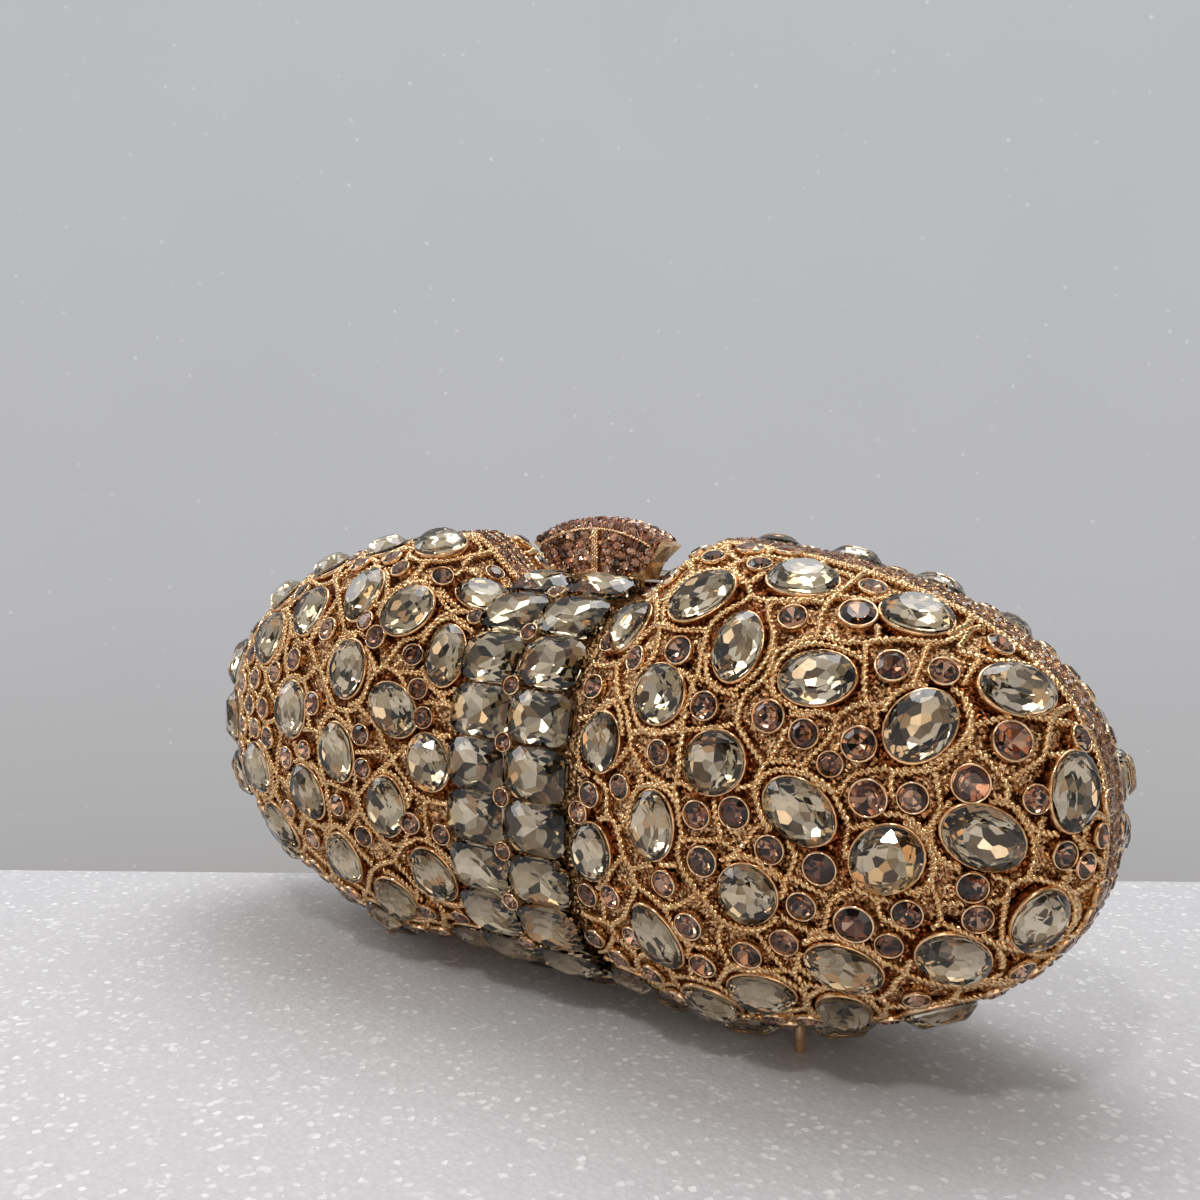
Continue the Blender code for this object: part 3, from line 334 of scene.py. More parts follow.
def lobe_room(along):
    """Length on the bow at a place along the chart, and the arcs from the top seam to middle and bottom."""
    x = np.interp(along, chart_along, chart_x)
    return x, np.interp(x, chart_x, section_middle), np.interp(x, chart_x, section_arc[:, -1])


# Each large stone has its place as shares along and up its lobe, its length and width in mm, and its turn
# in degrees. A round stone has its place and its diameter. The places are read off the photograph.
right_stones = (
    (0.07, 0.59, 11.6, 11.2, 30), (0.195, 0.31, 11.2, 11.2, 0), (0.065, 0.21, 11.6, 9.6, 85),
    (0.045, -0.14, 11.6, 9.6, 85), (0.05, -0.70, 11.6, 9.6, 20), (0.225, 0.61, 13.6, 9.6, 52),
    (0.32, 0.475, 13.4, 8.9, 88), (0.375, 0.75, 13.2, 10.2, 5), (0.46, 0.43, 13.2, 9.9, 8),
    (0.31, 0.155, 12, 11, 45), (0.198, -0.05, 13, 9.6, 86), (0.455, 0.055, 13.5, 10.4, -35),
    (0.59, -0.062, 12.8, 11.2, 40), (0.37, -0.195, 11, 11, 0), (0.19, -0.385, 13.6, 9.2, -55),
    (0.365, -0.53, 12.8, 9.8, 2), (0.515, -0.425, 13.5, 9.8, -20), (0.625, 0.365, 13.4, 10.6, 55),
    (0.57, 0.75, 13, 10.4, 2), (0.745, 0.65, 14.2, 10.2, 10), (0.862, 0.34, 13.4, 10.2, 88),
    (0.728, 0.03, 13.8, 10.4, -22), (0.81, -0.40, 12, 10.2, 60), (0.68, -0.44, 12.8, 10.6, -28),
    (0.62, -0.80, 13.6, 9.6, -5), (0.28, -0.80, 12.4, 9.6, 0), (0.45, -0.82, 12.4, 9.6, 0),
    (0.12, -0.80, 12, 9.6, 0), (0.49, -0.63, 12, 9.6, 90), (0.26, -0.61, 12, 9.6, -40),
)
left_stones = (
    (0.185, 0.79, 11.8, 11.2, 0), (0.05, 0.44, 13.6, 9.2, 80), (0.055, 0.055, 12.4, 10.4, 70),
    (0.065, -0.37, 13.4, 10, 60), (0.285, 0.54, 13.6, 9.8, 88), (0.155, 0.49, 12.8, 10.4, -55),
    (0.445, 0.49, 12.4, 10, 90), (0.266, 0.28, 13, 10.4, 88), (0.58, 0.40, 12.8, 10.2, 88),
    (0.36, 0.82, 12.6, 9.8, 10), (0.51, 0.76, 13, 9.8, 5), (0.63, 0.65, 12.6, 9.6, 15),
    (0.445, 0.115, 13, 10.6, 90), (0.765, 0.0, 13.2, 9.8, 88), (0.143, 0.165, 13, 10.2, 35),
    (0.283, 0.0, 13.2, 10.2, 75), (0.6, -0.18, 12.4, 10.2, 60), (0.39, -0.175, 13.4, 10, 50),
    (0.16, -0.165, 13.4, 9.6, 90), (0.54, -0.41, 13, 9.8, 45), (0.30, -0.385, 12.6, 10, 88),
    (0.19, -0.52, 12.8, 10, 80), (0.045, 0.72, 12.8, 9.2, 0), (0.045, -0.70, 12.4, 9.6, 0),
    (0.30, -0.81, 12.4, 9.6, 0), (0.46, -0.80, 12.4, 9.6, 0), (0.63, -0.70, 12.4, 9.6, -10),
    (0.76, -0.38, 12.4, 9.6, 70), (0.785, 0.36, 12.4, 9.6, 80), (0.86, -0.18, 11.4, 9.2, 80),
    (0.89, 0.36, 10.4, 8.8, 85), (0.74, -0.70, 12.2, 9.6, 0), (0.27, -0.64, 11, 9, 90),
)
right_rounds = (
    (0.24, 0.87, 5.6), (0.3, 0.92, 5.2), (0.29, 0.77, 5), (0.485, 0.80, 5.4), (0.49, 0.66, 7),
    (0.395, 0.59, 5.4), (0.22, 0.435, 5.6), (0.03, 0.56, 5), (0.025, 0.40, 5), (0.21, 0.155, 5),
    (0.285, 0.30, 5.4), (0.395, 0.30, 6), (0.455, 0.27, 5.4), (0.54, 0.27, 6.2), (0.567, 0.52, 6),
    (0.64, 0.56, 5.4), (0.695, 0.81, 5.2), (0.755, 0.42, 7), (0.85, 0.68, 5), (0.705, 0.22, 6.6),
    (0.56, 0.12, 6.6), (0.625, 0.14, 5.4), (0.50, 0.2, 4.6), (0.045, 0.05, 5.2), (0.125, 0.05, 5),
    (0.018, -0.01, 4.6), (0.35, 0.03, 6), (0.285, 0.01, 5.4), (0.41, -0.06, 5.4), (0.295, -0.115, 5.8),
    (0.222, -0.2, 5.2), (0.49, -0.1, 6), (0.03, -0.29, 5), (0.09, -0.285, 5), (0.46, -0.215, 5.4),
    (0.427, -0.33, 5.4), (0.54, -0.265, 7), (0.62, -0.235, 5.4), (0.714, -0.155, 5.4),
    (0.72, -0.28, 5.4), (0.59, -0.34, 5), (0.262, -0.31, 5.6), (0.275, -0.435, 5.4),
    (0.36, -0.38, 5.8), (0.02, -0.47, 4.8), (0.065, -0.54, 5), (0.42, -0.69, 5.2), (0.54, -0.78, 5),
    (0.362, -0.78, 5), (0.85, -0.06, 5), (0.89, -0.19, 4.8), (0.765, -0.66, 5.2), (0.13, -0.42, 5),
    (0.18, -0.66, 5), (0.13, 0.42, 5), (0.80, 0.22, 5), (0.2, 0.77, 4.8),
    (0.135, 0.7, 4.6), (0.09, 0.84, 4.6), (0.93, 0.05, 4.4), (0.15, -0.56, 5), (0.61, -0.6, 5),
    (0.91, -0.74, 5), (0.83, -0.78, 5), (0.15, 0.84, 4.8), (0.36, -0.68, 4.8), (0.88, -0.82, 4.6),
    (0.94, 0.6, 4.8), (0.84, 0.85, 4.6), (0.04, 0.82, 4.4), (0.19, -0.84, 4.4), (0.71, -0.8, 4.8),
    (0.77, -0.84, 4.6),
)
left_rounds = (
    (0.275, 0.705, 5), (0.22, 0.64, 4.8), (0.125, 0.66, 5), (0.45, 0.3, 5.4), (0.355, 0.41, 5.6),
    (0.205, 0.385, 5.4), (0.115, 0.37, 4.8), (0.09, 0.28, 4.6), (0.07, 0.2, 4.8), (0.52, 0.25, 5.2),
    (0.365, 0.15, 5.4), (0.215, 0.07, 4.8), (0.46, -0.07, 5.2), (0.21, -0.04, 4.6), (0.285, -0.18, 5),
    (0.22, -0.27, 5), (0.1, -0.19, 5), (0.025, -0.19, 4.8), (0.4, -0.36, 5.2), (0.45, -0.54, 5.2),
    (0.34, -0.58, 5), (0.13, -0.57, 5), (0.02, 0.62, 4.6), (0.15, -0.72, 5), (0.53, 0.6, 5),
    (0.69, 0.2, 5.2), (0.68, -0.02, 5.2), (0.54, -0.02, 5.4), (0.68, -0.3, 5), (0.6, -0.56, 5),
    (0.37, 0.69, 5), (0.7, 0.5, 5), (0.828, 0.18, 4.4), (0.53, -0.62, 4.8),
    (0.845, -0.6, 4.8), (0.93, -0.1, 4.4), (0.07, 0.84, 4.6), (0.65, -0.44, 5), (0.19, -0.82, 5),
    (0.56, -0.78, 5), (0.36, -0.7, 5), (0.63, 0.1, 5), (0.09, -0.82, 5), (0.83, -0.8, 5),
    (0.87, 0.72, 4.8), (0.41, -0.64, 5), (0.66, 0.34, 5), (0.62, 0.82, 5), (0.91, -0.76, 4.8),
    (0.61, 0.22, 5), (0.48, -0.66, 5), (0.7, -0.16, 5), (0.27, 0.84, 5), (0.94, -0.66, 4.8),
    (0.21, -0.72, 4.8), (0.45, 0.84, 4.8), (0.6, 0.0, 5), (0.76, 0.56, 4.4), (0.04, -0.56, 4.6),
    (0.42, 0.74, 4.4), (0.72, 0.4, 4.4), (0.72, 0.74, 5), (0.78, 0.82, 4.6), (0.8, 0.68, 4.8),
    (0.245, 0.44, 4.6), (0.56, 0.1, 5), (0.39, -0.02, 4.6), (0.47, -0.28, 4.8),
)


def chart_stones(table):
    """Stones on the chart in metres: centre, half length, half width and turn."""
    spots = []
    for along_share, up_share, length, *oval in table:
        width, degrees = oval or (length, 0)
        along = along_share * chart_along[-1]
        _, middle, whole = lobe_room(along)
        room = middle if up_share > 0 else whole - middle
        spots.append((along, up_share * room, length / 2000, width / 2000, math.radians(degrees)))
    return np.array(spots)


charts = {
    "right": (chart_stones(right_stones), chart_stones(right_rounds)),
    "left": (chart_stones(left_stones), chart_stones(left_rounds)),
}
lobes = {
    "front_right": ("right", 1, 1), "front_left": ("left", -1, 1),
    "rear_left": ("right", 1, -1), "rear_right": ("left", -1, -1),
}
bodies = {"front": "lid", "rear": "body", "knob": "knob"}


def to_lobe(name, spots):
    """Chart points on the named lobe, mirrored for the left table and turned half round for the rear."""
    _, side, face = lobes[name]
    laid = on_lobe(spots)
    laid[:, 0] *= side * face
    laid[:, 1] *= face
    return laid


def oval_gap(spots, stones):
    """Distance from each chart point to the nearest stone's edge, roughly, in metres."""
    nearest = np.full(len(spots), 1.0)
    for along, up, half_long, half_short, turn in stones:
        dx, dy = spots[:, 0] - along, spots[:, 1] - up
        u = (dx * math.cos(turn) + dy * math.sin(turn)) / half_long
        v = (dy * math.cos(turn) - dx * math.sin(turn)) / half_short
        nearest = np.minimum(nearest, (np.hypot(u, v) - 1) * half_short)
    return nearest


def show(name, mesh, finish):
    """Link a finished mesh as a piece of the bag that rides on the body which its name starts with."""
    mesh.name = name
    for material in finish if isinstance(finish, tuple) else (finish,):
        mesh.materials.append(material)
    piece = bpy.data.objects.new(name, mesh)
    bpy.context.scene.collection.objects.link(piece)
    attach(piece, bodies[name.split("_")[0]])
    return piece


def show_sheet(name, bm, finish, wall):
    """Show a smooth sheet as a piece with a thin wall behind its face."""
    mesh = kept_mesh(bm, name)
    mesh.shade_smooth()
    piece = show(name, mesh, finish)
    wall_step = piece.modifiers.new("wall", "SOLIDIFY")
    wall_step.thickness = wall
    wall_step.offset = -1.0
    return piece


sanded_gold = gold_finish("sanded_gold", (0.89, 0.625, 0.35), (0.36, 0.17, 0.065), 0.27, 1500.0, 0.0003)
tree = sanded_gold.node_tree
place = tree.nodes["Texture Coordinate"].outputs["Object"]
grain = finish_step(tree, "TexVoronoi", {"Scale": 2300.0, "Vector": place}).outputs["Color"]
lean = vector_step(tree, "MULTIPLY_ADD", grain, (1.5,) * 3, (-0.75,) * 3)
upright = finish_step(tree, "NewGeometry", {}).outputs["Normal"]
tipped = vector_step(tree, "NORMALIZE", vector_step(tree, "ADD", upright, lean))
feed(tree.nodes["Bump"], {"Normal": tipped})
hollow = finish_step(tree, "Attribute", {}, attribute_name="hollow").outputs["Fac"]
unshaded_ground = tree.nodes["Color Ramp"].outputs["Color"]
# The hollow attribute darkens the ground's colour: painted shade with some reddish patina.
feed(tree.nodes["Principled BSDF"], {"Base Color": mix_step(tree, hollow, unshaded_ground, hollow_shade_and_patina)})

for name, (table, side, _) in lobes.items():
    bm = bmesh.new()
    bmesh.ops.create_grid(bm, x_segments=170, y_segments=190, size=1.0)
    grid = np.array([vert.co for vert in bm.verts], float)
    along = (grid[:, 0] + 1) / 2 * chart_along[-1] * skin_end
    x, middle, whole = lobe_room(along)
    edge_turn = np.arcsin(np.clip(seam_edge / bow_depth(x), 0.0, 1.0) ** section_power)
    column = np.interp(x, chart_x, np.arange(float(chart_columns))).astype(int)
    inset = np.array([np.interp(turn, chart_turn, section_arc[i]) for turn, i in zip(edge_turn, column)])
    up = middle - (inset + (1 - grid[:, 1]) / 2 * (whole - 2 * inset))
    spots = np.stack([along, up, np.zeros_like(up)], axis=1)
    big, small = charts[table]
    under = np.clip(-oval_gap(spots, np.concatenate([big, small])) / seat_softness, 0.0, 1.0)
    sag = np.clip(1.25 - oval_gap(spots, big) / hollow_reach, 0.0, 1.0)
    lumps = np.array([noise.noise(Vector((a * lump_scale, b * lump_scale, 0.3))) for a, b in spots[:, :2]])
    spots[:, 2] = (-skin_sink - hollow_sink * sag + lump_height * lumps) * (1 - under) - seat_sink * under
    # Painted shade, with some reddish patina: darker near the large stones and in the low lumps of the skin.
    shade_and_patina_share = np.clip(sag**0.8 * 0.92 + 0.3 * (lumps < -0.2), 0.0, 0.95)
    hollow_layer = bm.verts.layers.float.new("hollow")
    for vert, spot, value in zip(bm.verts, to_lobe(name, spots), shade_and_patina_share):
        vert.co = spot
        vert[hollow_layer] = value
    bmesh.ops.remove_doubles(bm, verts=bm.verts[:], dist=weld_distance)
    if side < 0:
        bmesh.ops.reverse_faces(bm, faces=bm.faces[:])
    skin = show_sheet(f"{name}_ground", bm, sanded_gold, skin_wall)
    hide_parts(f"{name}_filigree")

# The rope wires of the filigree: two fine wires twisted together, laid by hand half-way between the stones
# and round them, soldered to the ground and plated brighter. One more rope runs beside the stone border.
rope_gold = gold_finish("rope_gold", (0.88, 0.62, 0.34), (0.55, 0.29, 0.11), 0.17, 1400.0, 0.00014)
strand_radius, rope_pitch, rope_step = 0.0008, 0.0023, 0.0004
rope_lift, rope_wave, hug_gap, hug_wave = 0.00042, 0.00015, 0.0012, 0.0004
stone_clearance, seam_clearance, band_clearance, rope_end = 0.00035, 0.001, 0.0004, 0.975
cell_size, rival_reach, most_rivals, least_spread = 0.013, 0.034, 40, 0.0012
joint_reach, tie_power, straight_on, shortest_run = 0.001, 0.00000002, -0.2, 7
sway_scale, sway_width, sway_offset = 260, 0.0006, Vector((0.0, 0.0, 7.3))
border_rope_depth, border_rope_lift = 0.0046, 0.0004
hinge_top, hinge_climb, hinge_sink = 0.0072, 0.0022, 0.0017


def halfway_lines(seats):
    """Lines half-way between neighbouring stones, as pairs of chart points."""
    centres = []
    for owner, (along, up, half_long, half_short, turn) in enumerate(seats):
        spread = half_long - half_short
        for step in (-1, 0, 1) if spread > least_spread else (0,):
            x, y = along + step * spread * math.cos(turn), up + step * spread * math.sin(turn)
            centres.append((x, y, half_short, owner))
    centres = np.array(centres)
    lines = []
    for x, y, radius, _ in centres:
        here = Vector((x, y))
        cell = [here + Vector(corner) * cell_size for corner in ((-1, -1), (1, -1), (1, 1), (-1, 1))]
        apart = np.hypot(centres[:, 0] - x, centres[:, 1] - y)
        for rival in np.argsort(apart)[1:most_rivals]:
            if apart[rival] > rival_reach:
                break
            away = Vector((centres[rival, 0] - x, centres[rival, 1] - y)) / apart[rival]
            reach = (apart[rival] ** 2 + radius**2 - centres[rival, 2] ** 2) / (2 * apart[rival])
            past = [(corner - here).dot(away) - reach for corner in cell]
            trimmed = []
            for number, corner in enumerate(cell):
                if past[number - 1] * past[number] < 0:
                    share = past[number - 1] / (past[number - 1] - past[number])
                    trimmed.append(cell[number - 1].lerp(corner, share))
                if past[number] <= 0:
                    trimmed.append(corner)
            cell = trimmed
        for number, second in enumerate(cell):
            first = cell[number - 1]
            middle = (first + second) / 2
            power = (centres[:, 0] - middle.x) ** 2 + (centres[:, 1] - middle.y) ** 2 - centres[:, 2] ** 2
            one, other = np.argsort(power)[:2]
            if centres[one, 3] != centres[other, 3] and power[other] - power[one] < tie_power:
                lines.append((first, second))
    return lines


def rope_runs(lines):
    """Join the lines to long runs that pass straight on through each junction."""
    joints, edges = [], set()
    for line in lines:
        ends = []
        for spot in line:
            near = [i for i, other in enumerate(joints) if (other - spot).length < joint_reach]
            if not near:
                joints.append(spot)
            ends.append(near[0] if near else len(joints) - 1)
        if ends[0] != ends[1]:
            edges.add((min(ends), max(ends)))
    around = {}
    for one, other in sorted(edges):
        around.setdefault(one, []).append(other)
        around.setdefault(other, []).append(one)
    onward = {}
    for joint, near in around.items():
        free = list(near)
        while len(free) > 1:
            ways = {end: (joints[end] - joints[joint]).normalized() for end in free}
            pairs = [(ways[a].dot(ways[b]), a, b) for i, a in enumerate(free) for b in free[i + 1:]]
            bend, a, b = min(pairs)
            if bend > straight_on and len(near) > 2:
                break
            onward[joint, a], onward[joint, b] = b, a
            free = [end for end in free if end not in (a, b)]
    runs = []
    while edges:
        run = list(min(edges))
        edges.discard((run[0], run[1]))
        for _ in range(2):
            run.reverse()
            while (run[-1], run[-2]) in onward:
                step = onward[run[-1], run[-2]]
                edge = (min(run[-1], step), max(run[-1], step))
                if edge not in edges:
                    break
                edges.discard(edge)
                run.append(step)
        runs.append(np.array([joints[i] for i in run]))
    return runs


def even_steps(points, step):
    """The same path with its points a fixed step apart."""
    lengths = run_length(points)
    marks = np.linspace(0.0, lengths[-1], max(2, round(lengths[-1] / step)) + 1)
    return np.stack([np.interp(marks, lengths, column) for column in points.T], axis=1)


def unbroken(points, seats):
    """Parts of a path that clear the stones and the edges of the lobe."""
    _, middle, whole = lobe_room(points[:, 0])
    room = np.where(points[:, 1] > 0, middle, whole - middle) - seam_edge - seam_clearance
    good = (oval_gap(points, seats) > stone_clearance) & (np.abs(points[:, 1]) < room)
    good &= (points[:, 0] > band_clearance) & (points[:, 0] < chart_along[-1] * rope_end)
    marks = np.flatnonzero(np.diff(np.concatenate([[False], good, [False]]).astype(int)))
    return [points[start:end] for start, end in zip(marks[::2], marks[1::2]) if end - start > shortest_run]


def laid_runs(table):
    """Rope runs on the chart: smoothed, a little unsteady, and broken where stones touch."""
    seats = np.concatenate(charts[table])
    runs = []
    for points in rope_runs(halfway_lines(seats)):
        for _ in range(3):
            early, late = points[:-1] * 0.75 + points[1:] * 0.25, points[:-1] * 0.25 + points[1:] * 0.75
            points = np.concatenate([points[:1], np.stack([early, late], 1).reshape(-1, 2), points[-1:]])
        points = even_steps(points, rope_step)
        for point in points:
            spot = Vector((point[0] * sway_scale, point[1] * sway_scale, 0.0))
            point += (noise.noise(spot) * sway_width, noise.noise(spot + sway_offset) * sway_width)
        runs += unbroken(points, seats)
    return runs


def hugging_runs(table):
    """Ropes that hug most of the large stones for part of the way round."""
    big, small = charts[table]
    seats = np.concatenate([big, small])
    runs = []
    for number, (along, up, half_long, half_short, turn) in enumerate(big):
        if number % 5 == 4:
            continue
        start, span = number * 2.4, math.radians(170 + 130 * ((number * 7) % 10) / 10)
        angle = np.linspace(start, start + span, 90)
        off = hug_gap + hug_wave * np.sin(angle * 3 + number)
        u, v = (half_long + off) * np.cos(angle), (half_short + off) * np.sin(angle)
        x = along + u * math.cos(turn) - v * math.sin(turn)
        y = up + u * math.sin(turn) + v * math.cos(turn)
        runs += unbroken(even_steps(np.column_stack([x, y]), rope_step), seats)
    return runs


def border_path(side, face, depth, lift, step):
    """Path beside the seam of one lobe, from the band over the tip and back; it sinks in above the hinge."""
    x = lobe_lengths(400)
    top, bottom = bow_point(x, np.zeros_like(x)), bow_point(x, np.full_like(x, math.pi))
    loop = np.concatenate([top[:, (0, 2)], bottom[::-1][1:, (0, 2)]])
    way = np.gradient(loop, axis=0)
    way /= np.linalg.norm(way, axis=1, keepdims=True)
    sink = smooth_step((hinge_top - loop[:, 1]) / hinge_climb) * hinge_sink
    loop = even_steps(loop + np.stack([-way[:, 1], way[:, 0]], axis=1) * (lift - sink)[:, None], step)
    return np.stack([loop[:, 0] * side * face, np.full(len(loop), -depth * face), loop[:, 1]], axis=1)


rope_outline = bpy.data.curves.new("rope_outline", "CURVE")
rope_outline.dimensions = "2D"
strand = rope_outline.splines.new("POLY")
strand.points.add(9)
for step, point in enumerate(strand.points):
    angle = 2 * math.pi * step / 10
    reach = strand_radius * (0.48 + 0.52 * abs(math.cos(angle)) ** 1.3)
    point.co = (reach * math.cos(angle), reach * math.sin(angle), 0.0, 1.0)
strand.use_cyclic_u = True
rope_section = bpy.data.objects.new("rope_section", rope_outline)


def twist_wire(name, lines, pitch, finish, thick=1.0):
    """Sweep the two strands along each line, turning as they go, as one mesh."""
    wire = bpy.data.curves.new(name, "CURVE")
    wire.dimensions = "3D"
    wire.bevel_mode = "OBJECT"
    wire.bevel_object = rope_section
    wire.use_fill_caps = True
    for number, line in enumerate(lines):
        spline = wire.splines.new("POLY")
        spline.points.add(len(line) - 1)
        length = run_length(line)
        spline.points.foreach_set("co", np.column_stack([line, np.ones(len(line))]).ravel())
        spline.points.foreach_set("tilt", length / pitch * 2 * math.pi + number)
        sway = thick * (1 + 0.12 * np.sin(length * 900 + number) + 0.06 * np.sin(length * 2300))
        spline.points.foreach_set("radius", sway)
    holder = bpy.data.objects.new(name + "_wire", wire)
    bpy.context.scene.collection.objects.link(holder)
    graph = bpy.context.evaluated_depsgraph_get()
    mesh = bpy.data.meshes.new_from_object(holder.evaluated_get(graph))
    bpy.data.objects.remove(holder)
    bm = bmesh.new()
    bm.from_mesh(mesh)
    bmesh.ops.recalc_face_normals(bm, faces=bm.faces[:])
    bm.to_mesh(mesh)
    bm.free()
    mesh.materials.clear()
    mesh.shade_smooth()
    return show(name, mesh, finish)


runs_of = {table: laid_runs(table) + hugging_runs(table) for table in charts}
for name, (table, side, face) in lobes.items():
    lines = []
    for number, run in enumerate(runs_of[table]):
        lift = rope_lift + rope_wave * np.sin(np.arange(len(run)) * 0.11 + number)
        lines.append(to_lobe(name, np.column_stack([run, lift])))
    lines.append(border_path(side, face, border_rope_depth, border_rope_lift, rope_step))
    twist_wire(f"{name}_ropes", lines, rope_pitch, rope_gold)

# The large stones: smoke-coloured glass cut with a table, kites and girdle facets, with mirror foil on
# the back. Each stands high in a thin gold cup that is soldered to the ground of the filigree.
stone_lift, stone_height, stone_trim = 0.00155, 0.0053, -0.0002
cup_lift, cup_height = -0.001, 0.0018
cup_profile = ((0.985, 0.0), (1.075, 0.0), (1.075, 0.86), (1.05, 0.98), (1.01, 1.0), (0.985, 0.9))


def sort_faces(bm):
    """Put the faces of a small shape in the same order at each run."""
    order = Vector((0.7315, 0.3127, 1.917))
    bm.faces.sort(key=lambda face: face.calc_center_median().dot(order))


def rough_stone(sides, depth=2.0):
    """Round rough of a stone, one unit in radius."""
    bm = bmesh.new()
    bmesh.ops.create_cone(bm, cap_ends=True, segments=sides, radius1=1.0, radius2=1.0, depth=depth)
    return bm


def facet(bm, lean, angle, out, up):
    """Cut one facet through the point at the given distance out and height up."""
    normal = Vector((math.cos(angle) * math.sin(lean), math.sin(angle) * math.sin(lean), math.cos(lean)))
    reach = math.sin(lean) * out + math.cos(lean) * up
    bmesh.ops.bisect_plane(
        bm, geom=bm.verts[:] + bm.edges[:] + bm.faces[:], dist=0.00001,
        plane_co=normal * reach, plane_no=normal, clear_outer=True,
    )
    bmesh.ops.holes_fill(bm, edges=[edge for edge in bm.edges if edge.is_boundary], sides=0)


def cut_stone(name, bm, table_height, tiers):
    """Cut the table, then tiers of facets: how many, first angle, lean, distance out and height up."""
    facet(bm, 0.0, 0.0, 0.0, table_height)
    for count, start, lean, out, up in tiers:
        for step in range(count):
            facet(bm, math.radians(lean), math.radians(start) + 2 * math.pi * step / count, out, up)
    bmesh.ops.remove_doubles(bm, verts=bm.verts[:], dist=0.004)
    bmesh.ops.recalc_face_normals(bm, faces=bm.faces[:])
    for face in bm.faces:
        face.material_index = 1 if face.normal.z < -0.2 else 0
    sort_faces(bm)
    return kept_mesh(bm, name)


def turned_ring(name, profile, steps):
    """Ring turned from a closed profile of radii and heights."""
    bm = bmesh.new()
    outline = bmesh.ops.create_circle(bm, segments=len(profile), radius=1.0)["verts"]
    for vert, (out, up) in zip(outline, profile):
        vert.co = (out, 0.0, up)
    bmesh.ops.spin(
        bm, geom=bm.verts[:] + bm.edges[:], axis=(0, 0, 1), cent=(0, 0, 0), angle=2 * math.pi, steps=steps,
        use_merge=True,
    )
    bmesh.ops.remove_doubles(bm, verts=bm.verts[:], dist=0.0001)
    bmesh.ops.recalc_face_normals(bm, faces=bm.faces[:])
    sort_faces(bm)
    return kept_mesh(bm, name)


def stone_glass(name, clear, tinted, sheen):
    """Coloured glass whose tint differs a little from stone to stone and within each."""
    made = bpy.data.materials.new(name)
    made.use_nodes = True
    tree = made.node_tree
    tone = finish_step(tree, "Attribute", {}, attribute_name="tone").outputs["Fac"]
    place = finish_step(tree, "TexCoord", {}).outputs["Object"]
    cloud = finish_step(tree, "TexNoise", {"Scale": 260.0, "Vector": place}).outputs["Fac"]
    share = number_step(tree, "MULTIPLY_ADD", cloud, 0.35, tone)
    tint = mix_step(tree, share, (*clear, 1.0), (*tinted, 1.0))
    smear = range_step(tree, cloud, low=sheen * 0.3, high=sheen)
    looks = {"Transmission Weight": 1.0, "IOR": 1.56, "Base Color": tint, "Roughness": smear}
    feed(tree.nodes["Principled BSDF"], looks)
    return made


def foil(name, bright, dark, painted_reflections):
    """Mirror foil behind a stone, finely creased, with painted reflections that darken or tint some facets.
    """
    made = gold_finish(name, bright, dark, 0.04, 500.0, 0.000002)
    tree = made.node_tree
    cut = finish_step(tree, "Attribute", {}, attribute_name="cut").outputs["Fac"]
    plain = tree.nodes["Color Ramp"].outputs["Color"]
    # Painted reflections: the foil's colour is multiplied by a tone picked for each facet.
    reflected_foil = mix_step(tree, 1.0, plain, tone_ramp(tree, cut, painted_reflections, "CONSTANT"), "MULTIPLY")
    feed(tree.nodes["Principled BSDF"], {"Base Color": reflected_foil})
    return made


def seat_matrix(across, along, out, spot):
    """Matrix that carries a unit stone to its seat: two half widths, its height and its centre."""
    seat = Matrix.Identity(4)
    for column, way in enumerate((across, along, out, spot)):
        seat.col[column][:3] = way
    return seat


def lobe_seats(name, spots, lift, thick, trim=0.0, reach=0.004):
    """Seats of stones on the named lobe."""
    side = lobes[name][1]
    base = np.column_stack([spots[:, 0], spots[:, 1], np.full(len(spots), lift)])
    here = to_lobe(name, base)
    along = to_lobe(name, base + (reach, 0, 0)) - to_lobe(name, base - (reach, 0, 0))
    up = to_lobe(name, base + (0, reach, 0)) - to_lobe(name, base - (0, reach, 0))
    seats = []
    for spot, centre, u, v in zip(spots, here, along, up):
        u, v = Vector(u).normalized(), Vector(v).normalized()
        normal = u.cross(v).normalized() * side
        long_way = (u * math.cos(spot[4]) + v * math.sin(spot[4])).normalized()
        short_way = normal.cross(long_way)
        long_half, short_half = long_way * (spot[2] + trim), short_way * (spot[3] + trim)
        seats.append(seat_matrix(long_half, short_half, normal * thick, Vector(centre)))
    return seats


def show_copies(name, mesh, seats, finish, slot="antique_gold", seed=0.0):
    """Show a copy of a mesh at each seat as one piece, with a tone for each copy and one for each facet."""
    bm = bmesh.new()
    tone_layer = bm.verts.layers.float.new("tone")
    cut_layer = bm.faces.layers.float.new("cut")
    for number, seat in enumerate(seats):
        verts, faces = len(bm.verts), len(bm.faces)
        bm.from_mesh(mesh)
        bm.verts.ensure_lookup_table()
        bm.faces.ensure_lookup_table()
        fresh = bm.verts[verts:]
        bmesh.ops.transform(bm, matrix=seat, verts=fresh)
        tone = 0.5 + 0.5 * math.sin(number * 12.9898 + seed * 7.1)
        for vert in fresh:
            vert[tone_layer] = tone * 0.65
        for step, face in enumerate(bm.faces[faces:]):
            face[cut_layer] = (math.sin(step * 12.9898 + number * 78.233 + seed * 3.1) * 43758.5453) % 1.0
    joined = kept_mesh(bm, name)
    if slot == "antique_gold":
        joined.shade_smooth()
    return show(name, joined, finish)


